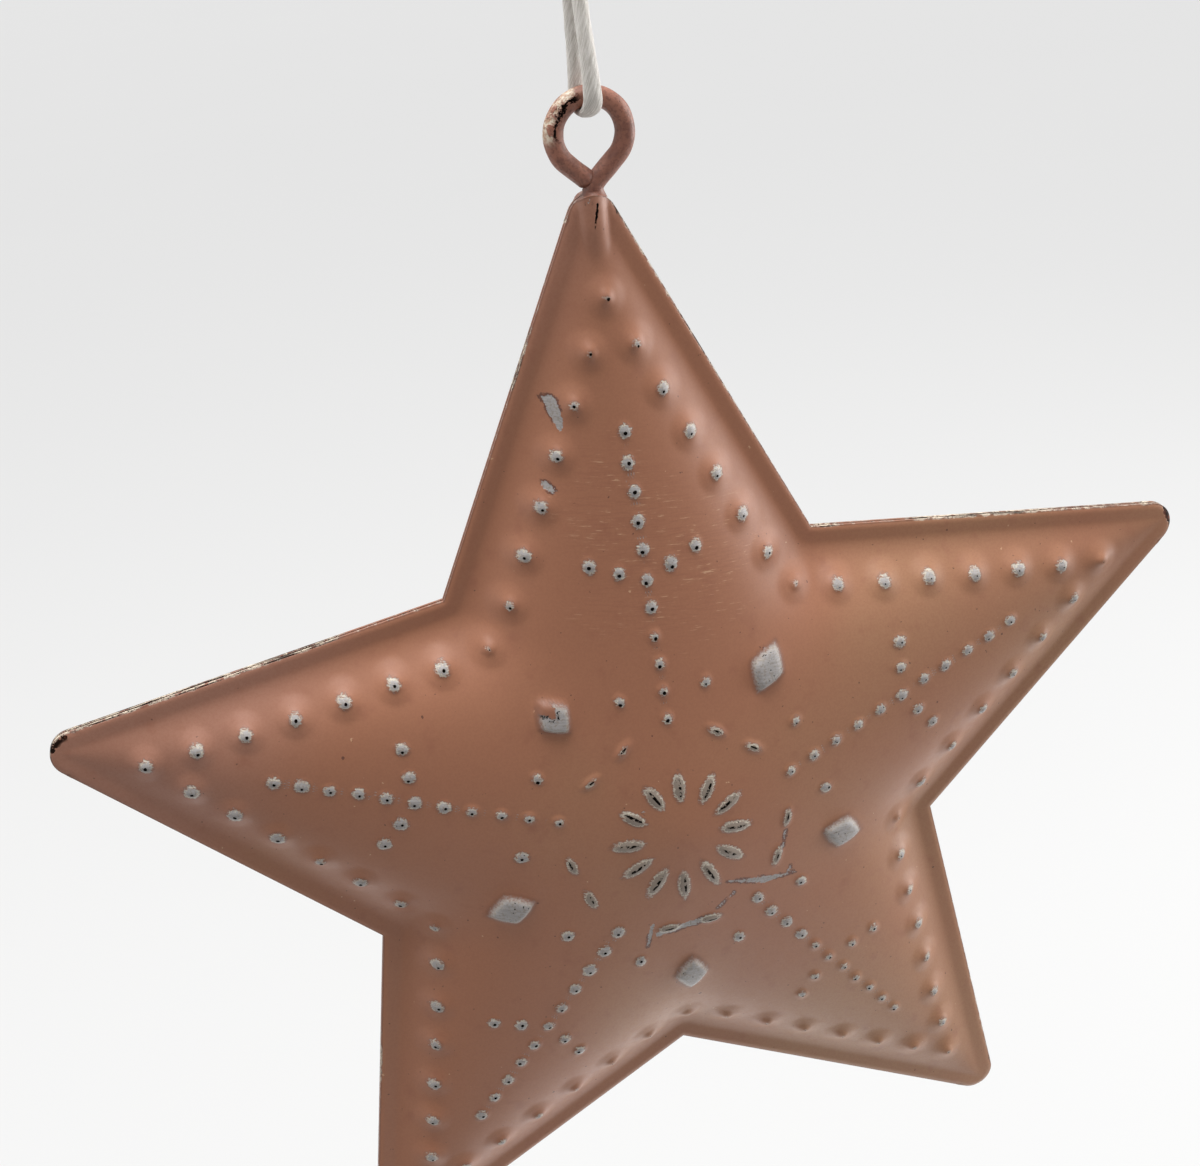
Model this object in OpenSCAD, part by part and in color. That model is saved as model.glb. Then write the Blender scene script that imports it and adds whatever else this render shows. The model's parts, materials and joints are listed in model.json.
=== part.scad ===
// Pressed tin star ornament. Two domed halves are joined at a flat flange, a bent wire eye is
// trapped in the top tip, and a doubled cord hangs the star from a knot.
// The origin is under the knot, Z points up and the front of the star faces -Y.

/* [Star outline] */
// Distance from the centre to the sharp corner of an arm, before the tip is rounded
tip_r = 55; // [48:1:62]
// Distance from the centre to the valley between two arms
valley_r = 27.2; // [25:0.2:30]
// Radius that rounds off each tip
tip_round = 2; // [1.5:0.25:2.5]

/* [Pressed sheet] */
// Thickness of the tin sheet
sheet_t = 0.4; // [0.3:0.05:0.5]
// Width of the flat flange where the two halves meet
flange_w = 1.4; // [1.2:0.1:2]
// Height of the dome's crown over the flange, at the centre
crown_h = 8.9; // [7:0.1:10]
// Height of the crown over the flange at the end of a tip
tip_h = 0.1; // [0.05:0.05:0.5]
// Radius over which the crown is flattened
crown_flat = 3.5; // [2:0.5:6]
// Distance inside the flange over which the wall rises
wall_w = 3.2; // [2.6:0.1:4]
// Height that the wall would reach there
wall_h = 2.56; // [2:0.02:3]

/* [Punched pattern] */
// Distance from the outline to the row of border bumps
border_inset = 4.5; // [4:0.1:5]
// Distance between two border bumps
border_pitch = 4.2; // [3.6:0.1:5]
// How far the bump in a valley stands outside its row
valley_bump_out = 0.6; // [0:0.1:1]
// Diameter of a border bump
border_bump_d = 1.7; // [1.3:0.1:2]
// Height of a border bump
border_bump_h = 0.5; // [0.3:0.05:0.7]
// Distance from the centre to the first dot on an arm's ridge
ridge_start = 34.4; // [32:0.1:36]
// Distance from the centre to the last dot on an arm's ridge
ridge_end = 10.8; // [10:0.1:13]
// Distance between two ridge dots
ridge_pitch = 2.36; // [2:0.02:3]
// Diameter of a dot
dot_d = 1.3; // [1:0.1:1.6]
// Height of a dot
dot_h = 0.3; // [0.2:0.05:0.5]
// Distance between two dots of a chevron
chevron_pitch = 2.4; // [2:0.1:2.6]
// Lean of a chevron's wings towards the tip
chevron_lean = 21; // [10:1:30]
// Distance from the centre to a diamond boss
diamond_r = 15.8; // [15:0.1:17]
// Length of a diamond boss
diamond_l = 3.4; // [2.6:0.1:4]
// Width of a diamond boss
diamond_w = 2.6; // [2:0.1:3]
// Height of a diamond boss
diamond_h = 0.7; // [0.4:0.05:1]
// Distance from the centre to the flower's petals
petal_r = 4.75; // [4.2:0.05:5.5]
// Length of a petal
petal_l = 2.3; // [1.8:0.1:2.8]
// Width of a petal
petal_w = 1.1; // [0.8:0.1:1.3]

/* [Hanging eye] */
// Diameter of the wire
wire_d = 1.6; // [1.2:0.1:1.8]
// Outside diameter of the ring
eye_d = 7; // [6:0.2:9]
// Length of straight wire between the star's top tip and the bend
neck_l = 0.6; // [0.6:0.1:1.6]
// Angle at which the ring's sides run down to the neck
neck_angle = 42; // [38:1:46]
// Length of wire trapped inside the star
wire_tail = 9; // [7:0.5:12]

/* [Solder] */
// Thickness of the solder between the flanges
seam_t = 0.15; // [0.1:0.05:0.3]
// Depth of the groove left outside the seam's solder
seam_groove = 0.25; // [0.15:0.05:0.4]
// Height of the solder collar round the neck
collar_h = 0.5; // [0.3:0.1:0.5]

/* [Cord] */
// Diameter of the cord
cord_d = 1.2; // [1:0.1:1.3]
// Length of the loop from the knot down to the eye
hang_l = 14; // [12:0.5:20]
// Diameter of the knot
knot_d = 4; // [3.4:0.1:5]
// Height of the knot
knot_h = 3.2; // [2.6:0.1:4]
// Length of the two cut ends above the knot
cord_ends = 2.6; // [1.5:0.1:5]

/* [Hidden] */
arms = 5;
sector = 360 / arms;
half_sector = sector / 2;
// Shape of the dome: how the wall's rise starts, and how softly it turns into the crown and the ridge
wall_power = 1.6;
crown_blend = 1.474;
ridge_blend = 6;
// Clearances: the wire in its channel, and the cord round the eye and under the knot
wire_gap = 0.04;
cord_gap = 0.15;
knot_gap = 0.05;

// One edge of the star, in the frame of an arm: out along the arm, and to its side
tip_pt = [tip_r, 0];
valley_pt = valley_r * [cos(half_sector), sin(half_sector)];
edge_l = norm(valley_pt - tip_pt);
edge_dir = (valley_pt - tip_pt) / edge_l;
edge_normal = [edge_dir[1], -edge_dir[0]];
edge_r = edge_normal * tip_pt;
tip_half = asin(edge_normal[0]);
arc_x = tip_r - tip_round / sin(tip_half);
apex_r = arc_x + tip_round;
fall_rate = (crown_h - tip_h) / (sqrt(pow(apex_r, 2) + pow(crown_flat, 2)) - crown_flat);

// Heights on the hanging line
wire_r = wire_d / 2;
ring_r = eye_d / 2 - wire_r;
bight_r = wire_r + cord_d / 2 + cord_gap;
ring_z = -hang_l - ring_r;

// The eye's bends, measured from the middle of its ring
bend_r = wire_d * 0.75;
side_dir = [sin(neck_angle), cos(neck_angle)];
side_start = ring_r * [cos(neck_angle), -sin(neck_angle)];
side_l = (side_start[0] - bend_r * (1 - cos(neck_angle))) / side_dir[0];
side_end = side_start - side_l * side_dir;
neck_z = side_end[1] - bend_r * sin(neck_angle);
cut_l = (side_start[0] - wire_r * 0.7) / side_dir[0];
apex_z = ring_z + neck_z - neck_l;
star_z = apex_z - apex_r;

// Distance to the two edges of the arm that a point lies in
function edge_dist(p, side) =
    let (t = ([p[0], side * p[1]] - tip_pt) * edge_dir)
    t <= edge_l ? edge_r - edge_normal * [p[0], side * p[1]] : norm([p[0], side * p[1]] - valley_pt);

// A point given across and up, in the frame of the arm that it lies in, the first of which points up
function in_arm(p) =
    let (a = atan2(-p[0], p[1]))
    let (b = a - sector * round(a / sector))
    norm(p) * [cos(b), sin(b)];

// A point given in the frame of the arm at angle a from straight up, as a point across and up
function turned(p, a) = [-p[0] * sin(a) - p[1] * cos(a), p[0] * cos(a) - p[1] * sin(a)];

// Height of the sheet's inside over the flange plane: the wall's rise and the crown's fall, blended
function dome(p) =
    let (q = in_arm(p))
    let (a = edge_dist(q, 1) - flange_w, b = edge_dist(q, -1) - flange_w)
    a <= 0 || b <= 0 ? 0 :
    let (inside = pow(pow(a, -ridge_blend) + pow(b, -ridge_blend), -1 / ridge_blend))
    let (wall = wall_h * pow(inside / wall_w, wall_power))
    let (soft = sqrt(pow(norm(p), 2) + pow(crown_flat, 2)) - crown_flat)
    let (crown = crown_h - fall_rate * soft)
    pow(pow(wall, -crown_blend) + pow(crown, -crown_blend), -1 / crown_blend);

// The outline with round tips, anticlockwise, starting at an arm's tip
edge_steps = 5;
arc_steps = 2;
arc_end = [arc_x, 0] + tip_round * edge_normal;
arc_turn = atan2(edge_normal[1], edge_normal[0]) / arc_steps;
arm_side = concat(
    [for (i = [0:arc_steps - 1]) [arc_x, 0] + tip_round * [cos(arc_turn * i), sin(arc_turn * i)]],
    [for (i = [0:edge_steps - 1]) arc_end + (valley_pt - arc_end) * i / edge_steps]);
function flipped(list) = [for (i = [len(list) - 1:-1:1]) [list[i][0], -list[i][1]]];
one_arm = concat([[valley_pt[0], -valley_pt[1]]], flipped(arm_side), arm_side);
outline = [for (k = [0:arms - 1]) for (p = one_arm) turned(p, k * sector)];

// Rings of the pressed sheet, as distances inside the outline, and the same as shares of the outline
ring_insets = [0, flange_w, flange_w + wall_w * 0.35, flange_w + wall_w * 0.75,
    border_inset + wall_w * 0.3, border_inset + wall_w, edge_r * 0.47, edge_r * 0.62,
    edge_r * 0.77, edge_r * 0.9];
shares = [for (d = ring_insets) 1 - d / edge_r];

// Rings of points on the sheet's inside, from the outline to the centre: across, height and up
function skin(rings) = concat(
    [for (s = rings) for (p = outline) [s * p[0], dome(s * p), s * p[1]]],
    [[0, dome([0, 0]), 0]]);

// The triangles between the rings of a skin, whose points start at number first
function skin_faces(rings, first) =
    let (n = len(outline), m = len(rings))
    concat(
        [for (r = [0:m - 2]) for (i = [0:n - 1])
            let (a = first + r * n + i, b = first + r * n + (i + 1) % n)
            for (f = [[a, b + n, b], [a, a + n, b + n]]) f],
        [for (i = [0:n - 1]) [first + (m - 1) * n + i, first + m * n, first + (m - 1) * n + (i + 1) % n]]);

// A closed sheet between two skins: the outside points towards -Y
module pressed_sheet() {
    n = len(outline);
    outside = skin(shares);
    inside_shares = [for (i = [0, 1, 3, 5, 7, 9]) shares[i]];
    inside = skin(inside_shares);
    first = len(outside);
    points = concat([for (p = outside) [p[0], -p[1] - sheet_t, p[2]]], [for (p = inside) [p[0], -p[1], p[2]]]);
    inner = [for (f = skin_faces(inside_shares, first)) [f[0], f[2], f[1]]];
    rim = [for (i = [0:n - 1])
        let (j = (i + 1) % n)
        for (f = [[j, first + i, i], [j, first + j, first + i]]) f];
    polyhedron(points, concat(skin_faces(shares, 0), inner, rim), convexity = 6);
}

// The sheet's slope across and up at p
slope_step = 0.05;
function slope(p) = [dome(p + [slope_step, 0]) - dome(p - [slope_step, 0]),
    dome(p + [0, slope_step]) - dome(p - [0, slope_step])] / (2 * slope_step);

// A raised mark at p, long by wide, standing h over the sheet. It lies upright, turned by a.
// It is a low pyramid whose foot is sunk in the sheet, punched a little askew as by hand.
punch_turn = 4;
module raised_mark(p, long, wide, h, a = 0, sides = 4) {
    root = sheet_t * 0.5;
    spread = 1 + root / h;
    tilt = slope(p);
    translate([p[0], -dome(p) - sheet_t, p[1]])
        multmatrix([[1, 0, 0, 0], [-tilt[0], 1, -tilt[1], 0], [0, 0, 1, 0]])
            rotate([90, 0, 0])
                rotate(a + punch_turn)
                    hull() {
                        translate([0, 0, -root])
                            scale([wide * spread, long * spread, 1])
                                cylinder(h = root * 0.2, d = 1, $fn = sides);
                        scale([wide, long, 1])
                            cylinder(h = h, d = 0.2, $fn = sides);
                    }
}

border_share = 1 - border_inset / edge_r;
border_tip = border_share * tip_pt;
border_valley = border_share * valley_pt;
border_count = round(norm(border_valley - border_tip) / border_pitch);
ridge_count = round((ridge_start - ridge_end) / ridge_pitch);
ridge_step = (ridge_start - ridge_end) / ridge_count;
chevron_dot = ridge_start - 5 * ridge_step;

// The row of bumps along the border of one arm, its tip bump and the bump in the next valley
module border_bumps(turn) {
    for (i = [0:border_count - 1])
        for (side = i == 0 ? [1] : [1, -1]) {
            p = border_tip + (border_valley - border_tip) * i / border_count;
            raised_mark(turned([p[0], side * p[1]], turn), border_bump_d, border_bump_d, border_bump_h, turn, 5);
        }
    valley_at = (norm(border_valley) + valley_bump_out) * [cos(half_sector), sin(half_sector)];
    raised_mark(turned(valley_at, turn), border_bump_d, border_bump_d, border_bump_h, turn, 5);
}

// The line of dots on one arm's ridge, and the chevron across it
module ridge_dots(turn) {
    for (i = [0:ridge_count])
        raised_mark(turned([ridge_start - i * ridge_step, 0], turn), dot_d, dot_d, dot_h, turn);
    for (side = [1, -1])
        for (i = [1, 2]) {
            p = [chevron_dot, 0] + i * chevron_pitch * [sin(chevron_lean), side * cos(chevron_lean)];
            raised_mark(turned(p, turn), dot_d, dot_d, dot_h, turn);
        }
}

// The diamond boss on one valley's line, two dots beside it, and two ovals that lie across the line
flank_at = [12.7, 4.65];
oval_at = [9.45, 1.9];
module valley_marks(turn) {
    raised_mark(turned([diamond_r, 0], turn), diamond_l, diamond_w, diamond_h, turn);
    for (side = [1, -1]) {
        raised_mark(turned([flank_at[0], side * flank_at[1]], turn), dot_d, dot_d, dot_h, turn);
        raised_mark(turned([oval_at[0], side * oval_at[1]], turn), petal_w, petal_l, dot_h, turn);
    }
}

petals = 12;
flower_turn = -3;
module flower() {
    for (i = [0:petals - 1]) {
        a = flower_turn + i * 360 / petals;
        raised_mark(turned([petal_r, 0], a), petal_l, petal_w, dot_h, a);
    }
}

// Half of the channel that is pressed out round the eye's wire
module wire_channel(r, top) {
    translate([0, 0, apex_r - wire_tail - wire_gap])
        cylinder(h = wire_tail + wire_gap + top, r = r, $fn = 24);
}

// One half of the star, with its centre at the origin and its flange on the plane Y = 0
module half_star() {
    difference() {
        union() {
            pressed_sheet();
            for (k = [0:arms - 1]) {
                border_bumps(k * sector);
                ridge_dots(k * sector);
                valley_marks(k * sector + half_sector);
            }
            flower();
            intersection() {
                translate([0, seam_t / 2, 0])
                    wire_channel(wire_r + sheet_t, 0);
                translate([-tip_round * 2, -tip_round * 2, apex_r - wire_tail * 0.6])
                    cube([tip_round * 4, tip_round * 2, wire_tail]);
            }
        }
        translate([0, seam_t / 2, 0])
            wire_channel(wire_r + wire_gap, 1);
    }
}

module front_shell() {
    color("#a9735c")
        translate([0, -seam_t / 2, star_z])
            half_star();
}

module back_shell() {
    color("#a9735c")
        mirror([0, 1, 0])
            translate([0, -seam_t / 2, star_z])
                half_star();
}

// The thin layer of solder between the flanges, open where the wire passes
module seam_solder() {
    outer_share = 1 - seam_groove / edge_r;
    inner_share = 1 - (flange_w - seam_groove / 2) / edge_r;
    color("#6f675f")
        translate([0, 0, star_z])
            difference() {
                rotate([90, 0, 0])
                    linear_extrude(height = seam_t, center = true)
                        difference() {
                            polygon(outer_share * outline);
                            polygon(inner_share * outline);
                        }
                translate([0, 0, arc_x - tip_round])
                    cylinder(h = tip_round * 3, r = wire_r + wire_gap, $fn = 48);
            }
}

// A straight length of the wire from p to q, points on the plane Y = 0
module wire_run(p, q) {
    d = q - p;
    translate([p[0], 0, p[1]])
        rotate([0, atan2(d[0], d[1]), 0])
            cylinder(h = norm(d), r = wire_r, $fn = 48);
}

// An arc of the wire round c on the plane Y = 0, from angle a through turn degrees
module wire_arc(c, r, a, turn) {
    translate([c[0], 0, c[1]])
        rotate([90, 0, 0])
            rotate(a)
                rotate_extrude(angle = turn, $fn = 96)
                    translate([r, 0])
                        circle(r = wire_r, $fn = 48);
}

// The eye is one wire: a tail in the star, a bend into the ring, and a cut end that butts on the neck
module hanging_eye() {
    color("#8f5a4b")
        translate([0, 0, ring_z])
            union() {
                wire_arc([0, 0], ring_r, -neck_angle, 180 + 2 * neck_angle);
                wire_run(side_start, side_end);
                wire_run([-side_start[0], side_start[1]],
                    [cut_l * side_dir[0] - side_start[0], side_start[1] - cut_l * side_dir[1]]);
                wire_arc([bend_r, neck_z], bend_r, 180 - neck_angle, neck_angle);
                wire_run([0, neck_z], [0, neck_z - neck_l - wire_tail]);
            }
}

// A collar of solder that flares from the neck down to the tip
module neck_solder() {
    rim = wire_r + sheet_t;
    color("#9c6a58")
        translate([0, 0, apex_z])
            rotate_extrude($fn = 64)
                difference() {
                    translate([wire_r, 0])
                        square([rim - wire_r, collar_h]);
                    translate([rim, collar_h])
                        scale([1, collar_h / (rim - wire_r) * 0.8])
                            circle(r = (rim - wire_r) * 0.9, $fn = 48);
                }
}

// The cord's route in its own plane: distance across and height over the bearing point on the eye.
// It comes down behind the eye's wire, turns under it and goes up in front.
cord_turn = 8;
bight_steps = 10;
strand_steps = [1, 0.96, 0.8, 0.62, 0.44, 0.26, 0.1];
strand_close = 1.8;
knot_half = cord_d / 2 + knot_gap;
function strand(t, side) =
    let (open = pow((1 + cos(180 * t)) / 2, strand_close))
    [side * (knot_half + (bight_r - knot_half) * open), t * hang_l];
bight = [for (i = [0:bight_steps]) bight_r * [cos(180 * i / bight_steps), -sin(180 * i / bight_steps)]];
strand_down = [for (t = strand_steps) strand(t, 1)];
strand_up = [for (i = [len(strand_steps) - 1:-1:0]) strand(strand_steps[i], -1)];
flat_route = concat(strand_down, bight, strand_up);
last = len(flat_route) - 1;
function on_route(i) =
    let (p = flat_route[i])
    let (drop = i == 0 || i == last ? knot_gap : 0)
    [-p[0] * sin(cord_turn), p[0] * cos(cord_turn), p[1] - hang_l - drop];
route = [for (i = [0:last]) on_route(i)];
function unit(v) = v / norm(v);

// A tube along a route that lies in one upright plane, whose normal is side
module tube(path, d, side, sides = 8) {
    n = len(path);
    rings = [for (i = [0:n - 1])
        let (ahead = i == 0 ? [0, 0, -1] : i == n - 1 ? [0, 0, 1] : unit(path[i + 1] - path[i - 1]))
        let (across = cross(ahead, side))
        for (k = [0:sides - 1])
            path[i] + d / 2 * (cos(360 * k / sides) * side + sin(360 * k / sides) * across)];
    walls = [for (i = [0:n - 2]) for (k = [0:sides - 1])
        let (a = i * sides + k, b = i * sides + (k + 1) % sides)
        for (f = [[a, b, b + sides], [a, b + sides, a + sides]]) f];
    ends = [[for (k = [sides - 1:-1:0]) k], [for (k = [0:sides - 1]) (n - 1) * sides + k]];
    polyhedron(rings, [for (f = concat(walls, ends)) [for (i = [len(f) - 1:-1:0]) f[i]]], convexity = 4);
}

module cord_loop() {
    color("#d8d2c8")
        tube(route, cord_d, [cos(cord_turn), sin(cord_turn), 0]);
}

// The knot: a barrel with a round shoulder, and the two cut ends of the cord
module cord_knot() {
    round_r = min(knot_h * 0.3, knot_d * 0.24);
    color("#d8d2c8")
        union() {
            rotate_extrude($fn = 64)
                union() {
                    square([knot_d / 2 - round_r, knot_h]);
                    translate([0, round_r])
                        square([knot_d / 2, knot_h - 2 * round_r]);
                    for (z = [round_r, knot_h - round_r])
                        translate([knot_d / 2 - round_r, z])
                            circle(r = round_r, $fn = 48);
                }
            for (side = [1, -1])
                translate([side * cord_d * 0.55, 0, knot_h * 0.5])
                    cylinder(h = knot_h * 0.5 + cord_ends, d = cord_d, $fn = 32);
        }
}

front_shell();
back_shell();
seam_solder();
hanging_eye();
neck_solder();
cord_loop();
cord_knot();
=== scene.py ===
# %% [markdown]
# # A pressed tin star ornament
# The real ornament is two tin halves, pressed and punched in one die, soldered together at a flat
# flange. A bent wire eye is trapped in the top tip and a doubled cotton cord hangs it up.
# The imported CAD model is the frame: it gives the bodies that move, and this file dresses them.

# %% Load the frame
import bpy
import numpy as np
from mathutils import Matrix
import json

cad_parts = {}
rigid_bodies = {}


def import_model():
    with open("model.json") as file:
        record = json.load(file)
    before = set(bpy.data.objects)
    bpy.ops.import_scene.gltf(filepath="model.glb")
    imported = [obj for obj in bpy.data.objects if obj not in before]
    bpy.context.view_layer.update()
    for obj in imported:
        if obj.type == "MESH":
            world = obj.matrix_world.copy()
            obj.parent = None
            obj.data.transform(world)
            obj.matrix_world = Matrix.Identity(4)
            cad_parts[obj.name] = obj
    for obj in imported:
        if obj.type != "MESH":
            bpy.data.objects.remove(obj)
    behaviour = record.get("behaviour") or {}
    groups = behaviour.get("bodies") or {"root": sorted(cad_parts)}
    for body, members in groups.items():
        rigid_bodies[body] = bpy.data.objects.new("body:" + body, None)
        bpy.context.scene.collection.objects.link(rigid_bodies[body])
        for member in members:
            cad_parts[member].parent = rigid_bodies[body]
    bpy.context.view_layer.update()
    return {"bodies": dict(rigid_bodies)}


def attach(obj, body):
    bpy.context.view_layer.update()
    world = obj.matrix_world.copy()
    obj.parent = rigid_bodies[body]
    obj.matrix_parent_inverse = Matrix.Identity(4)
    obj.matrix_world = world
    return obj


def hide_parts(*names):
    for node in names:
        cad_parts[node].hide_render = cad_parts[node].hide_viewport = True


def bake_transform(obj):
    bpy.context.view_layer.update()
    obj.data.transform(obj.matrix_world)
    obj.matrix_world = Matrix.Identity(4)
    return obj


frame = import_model()
BODIES = frame["bodies"]
print("bodies:", ", ".join(BODIES))

# %% [markdown]
# The lengths below are in millimetres, the same ones that the CAD source is driven by. Blender works
# in metres, so MM turns one into the other at the last moment, when a mesh is made.

# %% The star's measures
MM = 0.001
ARMS = 5
SECTOR = 2 * np.pi / ARMS
TIP_R, VALLEY_R, TIP_ROUND = 55.0, 27.2, 2.0
SHEET, SEAM, FLANGE = 0.4, 0.15, 1.4
CROWN_H, TIP_H, CROWN_FLAT = 8.9, 0.1, 3.5
WALL_W, WALL_H, WALL_POWER = 3.2, 2.56, 1.6
CROWN_BLEND, RIDGE_BLEND, RIDGE_EASE = 1.474, 6, 4.6
WIRE_R, RING_R, NECK_ANGLE, NECK_L = 0.8, 2.7, np.radians(42), 0.6
WIRE_TAIL, WIRE_BEND = 9.0, 1.5
CORD_R, CORD_GAP, KNOT_GAP, HANG_L = 0.6, 0.15, 0.05, 14.0

tip_at = np.array([TIP_R, 0.0])
valley_at = VALLEY_R * np.array([np.cos(SECTOR / 2), np.sin(SECTOR / 2)])
edge_l = np.linalg.norm(valley_at - tip_at)
edge_way = (valley_at - tip_at) / edge_l
edge_out = np.array([edge_way[1], -edge_way[0]])
edge_r = edge_out @ tip_at
arc_x = TIP_R - TIP_ROUND / edge_out[0]
apex_r = arc_x + TIP_ROUND
fall = (CROWN_H - TIP_H) / (np.hypot(apex_r, CROWN_FLAT) - CROWN_FLAT)

bend_r = WIRE_R * WIRE_BEND


def eye_bend(ring_r, angle):
    """A straight side leaves the ring, leans in at this angle from upright and bends into the neck.
    Gives where it leaves the ring, its direction, and the height at which the neck begins."""
    way = np.array([np.sin(angle), np.cos(angle)])
    at = ring_r * np.array([np.cos(angle), -np.sin(angle)])
    run = (at[0] - bend_r * (1 - np.cos(angle))) / way[0]
    return at, way, at[1] - run * way[1] - bend_r * np.sin(angle)


neck_z = eye_bend(RING_R, NECK_ANGLE)[2]
ring_z = -HANG_L - RING_R
apex_z = ring_z + neck_z - NECK_L
star_z = apex_z - apex_r
print("the star's centre hangs", round(-star_z, 2), "mm under the knot")

# %% [markdown]
# ## The camera
# It looks a little down on the star from the left, from about 0.16 m away, as the photographer did.
# The lens is worked out for a frame 36 mm wide.

# %% Set the camera
camera = bpy.data.objects.new("camera", bpy.data.cameras.new("camera"))
bpy.context.scene.collection.objects.link(camera)
bpy.context.scene.camera = camera
eye_point = np.array([-29.6, -131.6, 80.7 + star_z])
look = np.array([0.1824, 0.8945, -0.4082])
up = np.array([0.1972, 0.3735, 0.9064])


def unit(v):
    """Each vector divided by its own length."""
    return v / np.linalg.norm(v, axis=-1, keepdims=True)


back = -unit(look)
right = unit(np.cross(up, back))
turn = np.eye(4)
turn[:3, 0], turn[:3, 1], turn[:3, 2] = right, np.cross(back, right), back
turn[:3, 3] = eye_point * MM
camera.matrix_world = Matrix(turn.tolist())
camera.data.lens = 52.72
camera.data.sensor_width = 36
camera.data.clip_start = 0.005
camera.data.clip_end = 60
print("camera", np.round(eye_point, 1), "mm")

# %% [markdown]
# ## From numbers to a mesh
# Every piece here is a surface of two parameters, worked out as whole arrays. This helper puts the
# arrays into a mesh, smooths it up to a crease angle, and hangs named values on the points for the
# materials to read.

# %% A mesh from arrays
def make_piece(name, points, faces, body, crease=40, values=None):
    """points in mm, one row each, and faces as lists of point numbers, made an object on a body."""
    mesh = bpy.data.meshes.new(name)
    mesh.from_pydata((np.asarray(points) * MM).tolist(), [], faces)
    mesh.validate()
    mesh.polygons.foreach_set("use_smooth", np.ones(len(mesh.polygons), bool))
    mesh.set_sharp_from_angle(angle=np.radians(crease))
    for key, value in (values or {}).items():
        value = np.asarray(value, np.float32)
        kind, field = ("FLOAT", "value") if value.ndim == 1 else ("FLOAT_VECTOR", "vector")
        mesh.attributes.new(key, kind, "POINT").data.foreach_set(field, value.ravel())
    piece = bpy.data.objects.new(name, mesh)
    bpy.context.scene.collection.objects.link(piece)
    if body:
        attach(piece, body)
    print(name, len(points), "points,", sum(len(p.vertices) - 2 for p in mesh.polygons), "triangles")
    return piece


def grid_faces(rows, columns, first=0):
    """The quads between rows of points that close on themselves, each row after the one before."""
    r, c = np.meshgrid(np.arange(rows - 1), np.arange(columns), indexing="ij")
    n = (c + 1) % columns
    row, next_row = r * columns, (r + 1) * columns
    quads = np.stack([row + c, row + n, next_row + n, next_row + c], -1)
    return (quads.reshape(-1, 4) + first).tolist()


# %% [markdown]
# A wire and a cord are both a section carried along a path. At each step the section is drawn in the
# plane square to the path, from a side direction and one square to both. The eye and the cord each
# lie in one upright plane, so their side direction is fixed. The knot turns every way, so its side
# direction is carried along from step to step.

# %% Sweep a section along a path
def resample(path, step):
    """Points at equal distances along a broken line, about step apart."""
    lengths = np.r_[0, np.cumsum(np.linalg.norm(np.diff(path, axis=0), axis=1))]
    s = np.linspace(0, lengths[-1], int(round(lengths[-1] / step)) + 1)
    return np.stack([np.interp(s, lengths, path[:, i]) for i in range(path.shape[1])], 1), s


def smooth_line(path, passes):
    """Each inner point moved to the mean of itself twice and its two neighbours, several times."""
    path = path.copy()
    for _ in range(passes):
        path[1:-1] = (path[:-2] + 2 * path[1:-1] + path[2:]) / 4
    return path


def carried_side(path, side):
    """A side direction carried along a path without twist: at each step it loses what lies along the
    path, and is made one unit long again."""
    sides = []
    for ahead in unit(np.gradient(path, axis=0)):
        side = unit(side - (side @ ahead) * ahead)
        sides.append(side)
    return np.array(sides)


def sweep(path, side, radius, columns, flat=None):
    """Point = path + radius * (wide cos(a) side + sin(a) / wide over), where over is square to path
    and side. radius is a function of the angle a and the distance s along the path, and wide is 1, or
    a function of s that flattens the section. Both ends are closed."""
    s = np.r_[0, np.cumsum(np.linalg.norm(np.diff(path, axis=0), axis=1))]
    ahead = unit(np.gradient(path, axis=0))
    side = np.broadcast_to(side, path.shape)
    over = unit(np.cross(ahead, side))
    a = np.linspace(0, 2 * np.pi, columns, endpoint=False)
    A, S = np.meshgrid(a, s)
    R = radius(A, S)[..., None]
    wide = (np.ones_like(s) if flat is None else flat(s))[:, None, None]
    sideways = wide * np.cos(A)[..., None] * side[:, None]
    outwards = np.sin(A)[..., None] / wide * over[:, None]
    points = (path[:, None] + R * (sideways + outwards)).reshape(-1, 3)
    rows = len(path)
    faces = grid_faces(rows, columns)
    points = np.vstack([points, path[0], path[-1]])
    first, last = len(points) - 2, (rows - 1) * columns
    c = np.arange(columns)
    n = (c + 1) % columns
    faces += np.stack([np.full(columns, first), n, c], 1).tolist()
    faces += np.stack([np.full(columns, first + 1), last + c, last + n], 1).tolist()
    along = np.r_[S.ravel(), s[0], s[-1]]
    around = np.r_[A.ravel(), 0, 0]
    return points, faces, along, around


# %% [markdown]
# ## The cord
# The real cord is soft white cotton of two loosely twisted plies, 1.2 mm thick, doubled through the
# ring. It comes down behind the wire, turns under it and goes up in front, and something above the
# photograph holds it: here that is a knot. The piece is a mesh tube whose radius swells and pinches
# with the angle around it and the distance along it, which gives the twist.

# %% The cord's route and tube
LEAN, LEAN_RISE = 0.55, 4.0


def eye_lean(z):
    """The real eye stands to the right by LEAN (1 + tanh(height over the tip / LEAN_RISE)) / 2."""
    return LEAN * (0.5 + 0.5 * np.tanh((z - apex_z) / LEAN_RISE))


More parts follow.
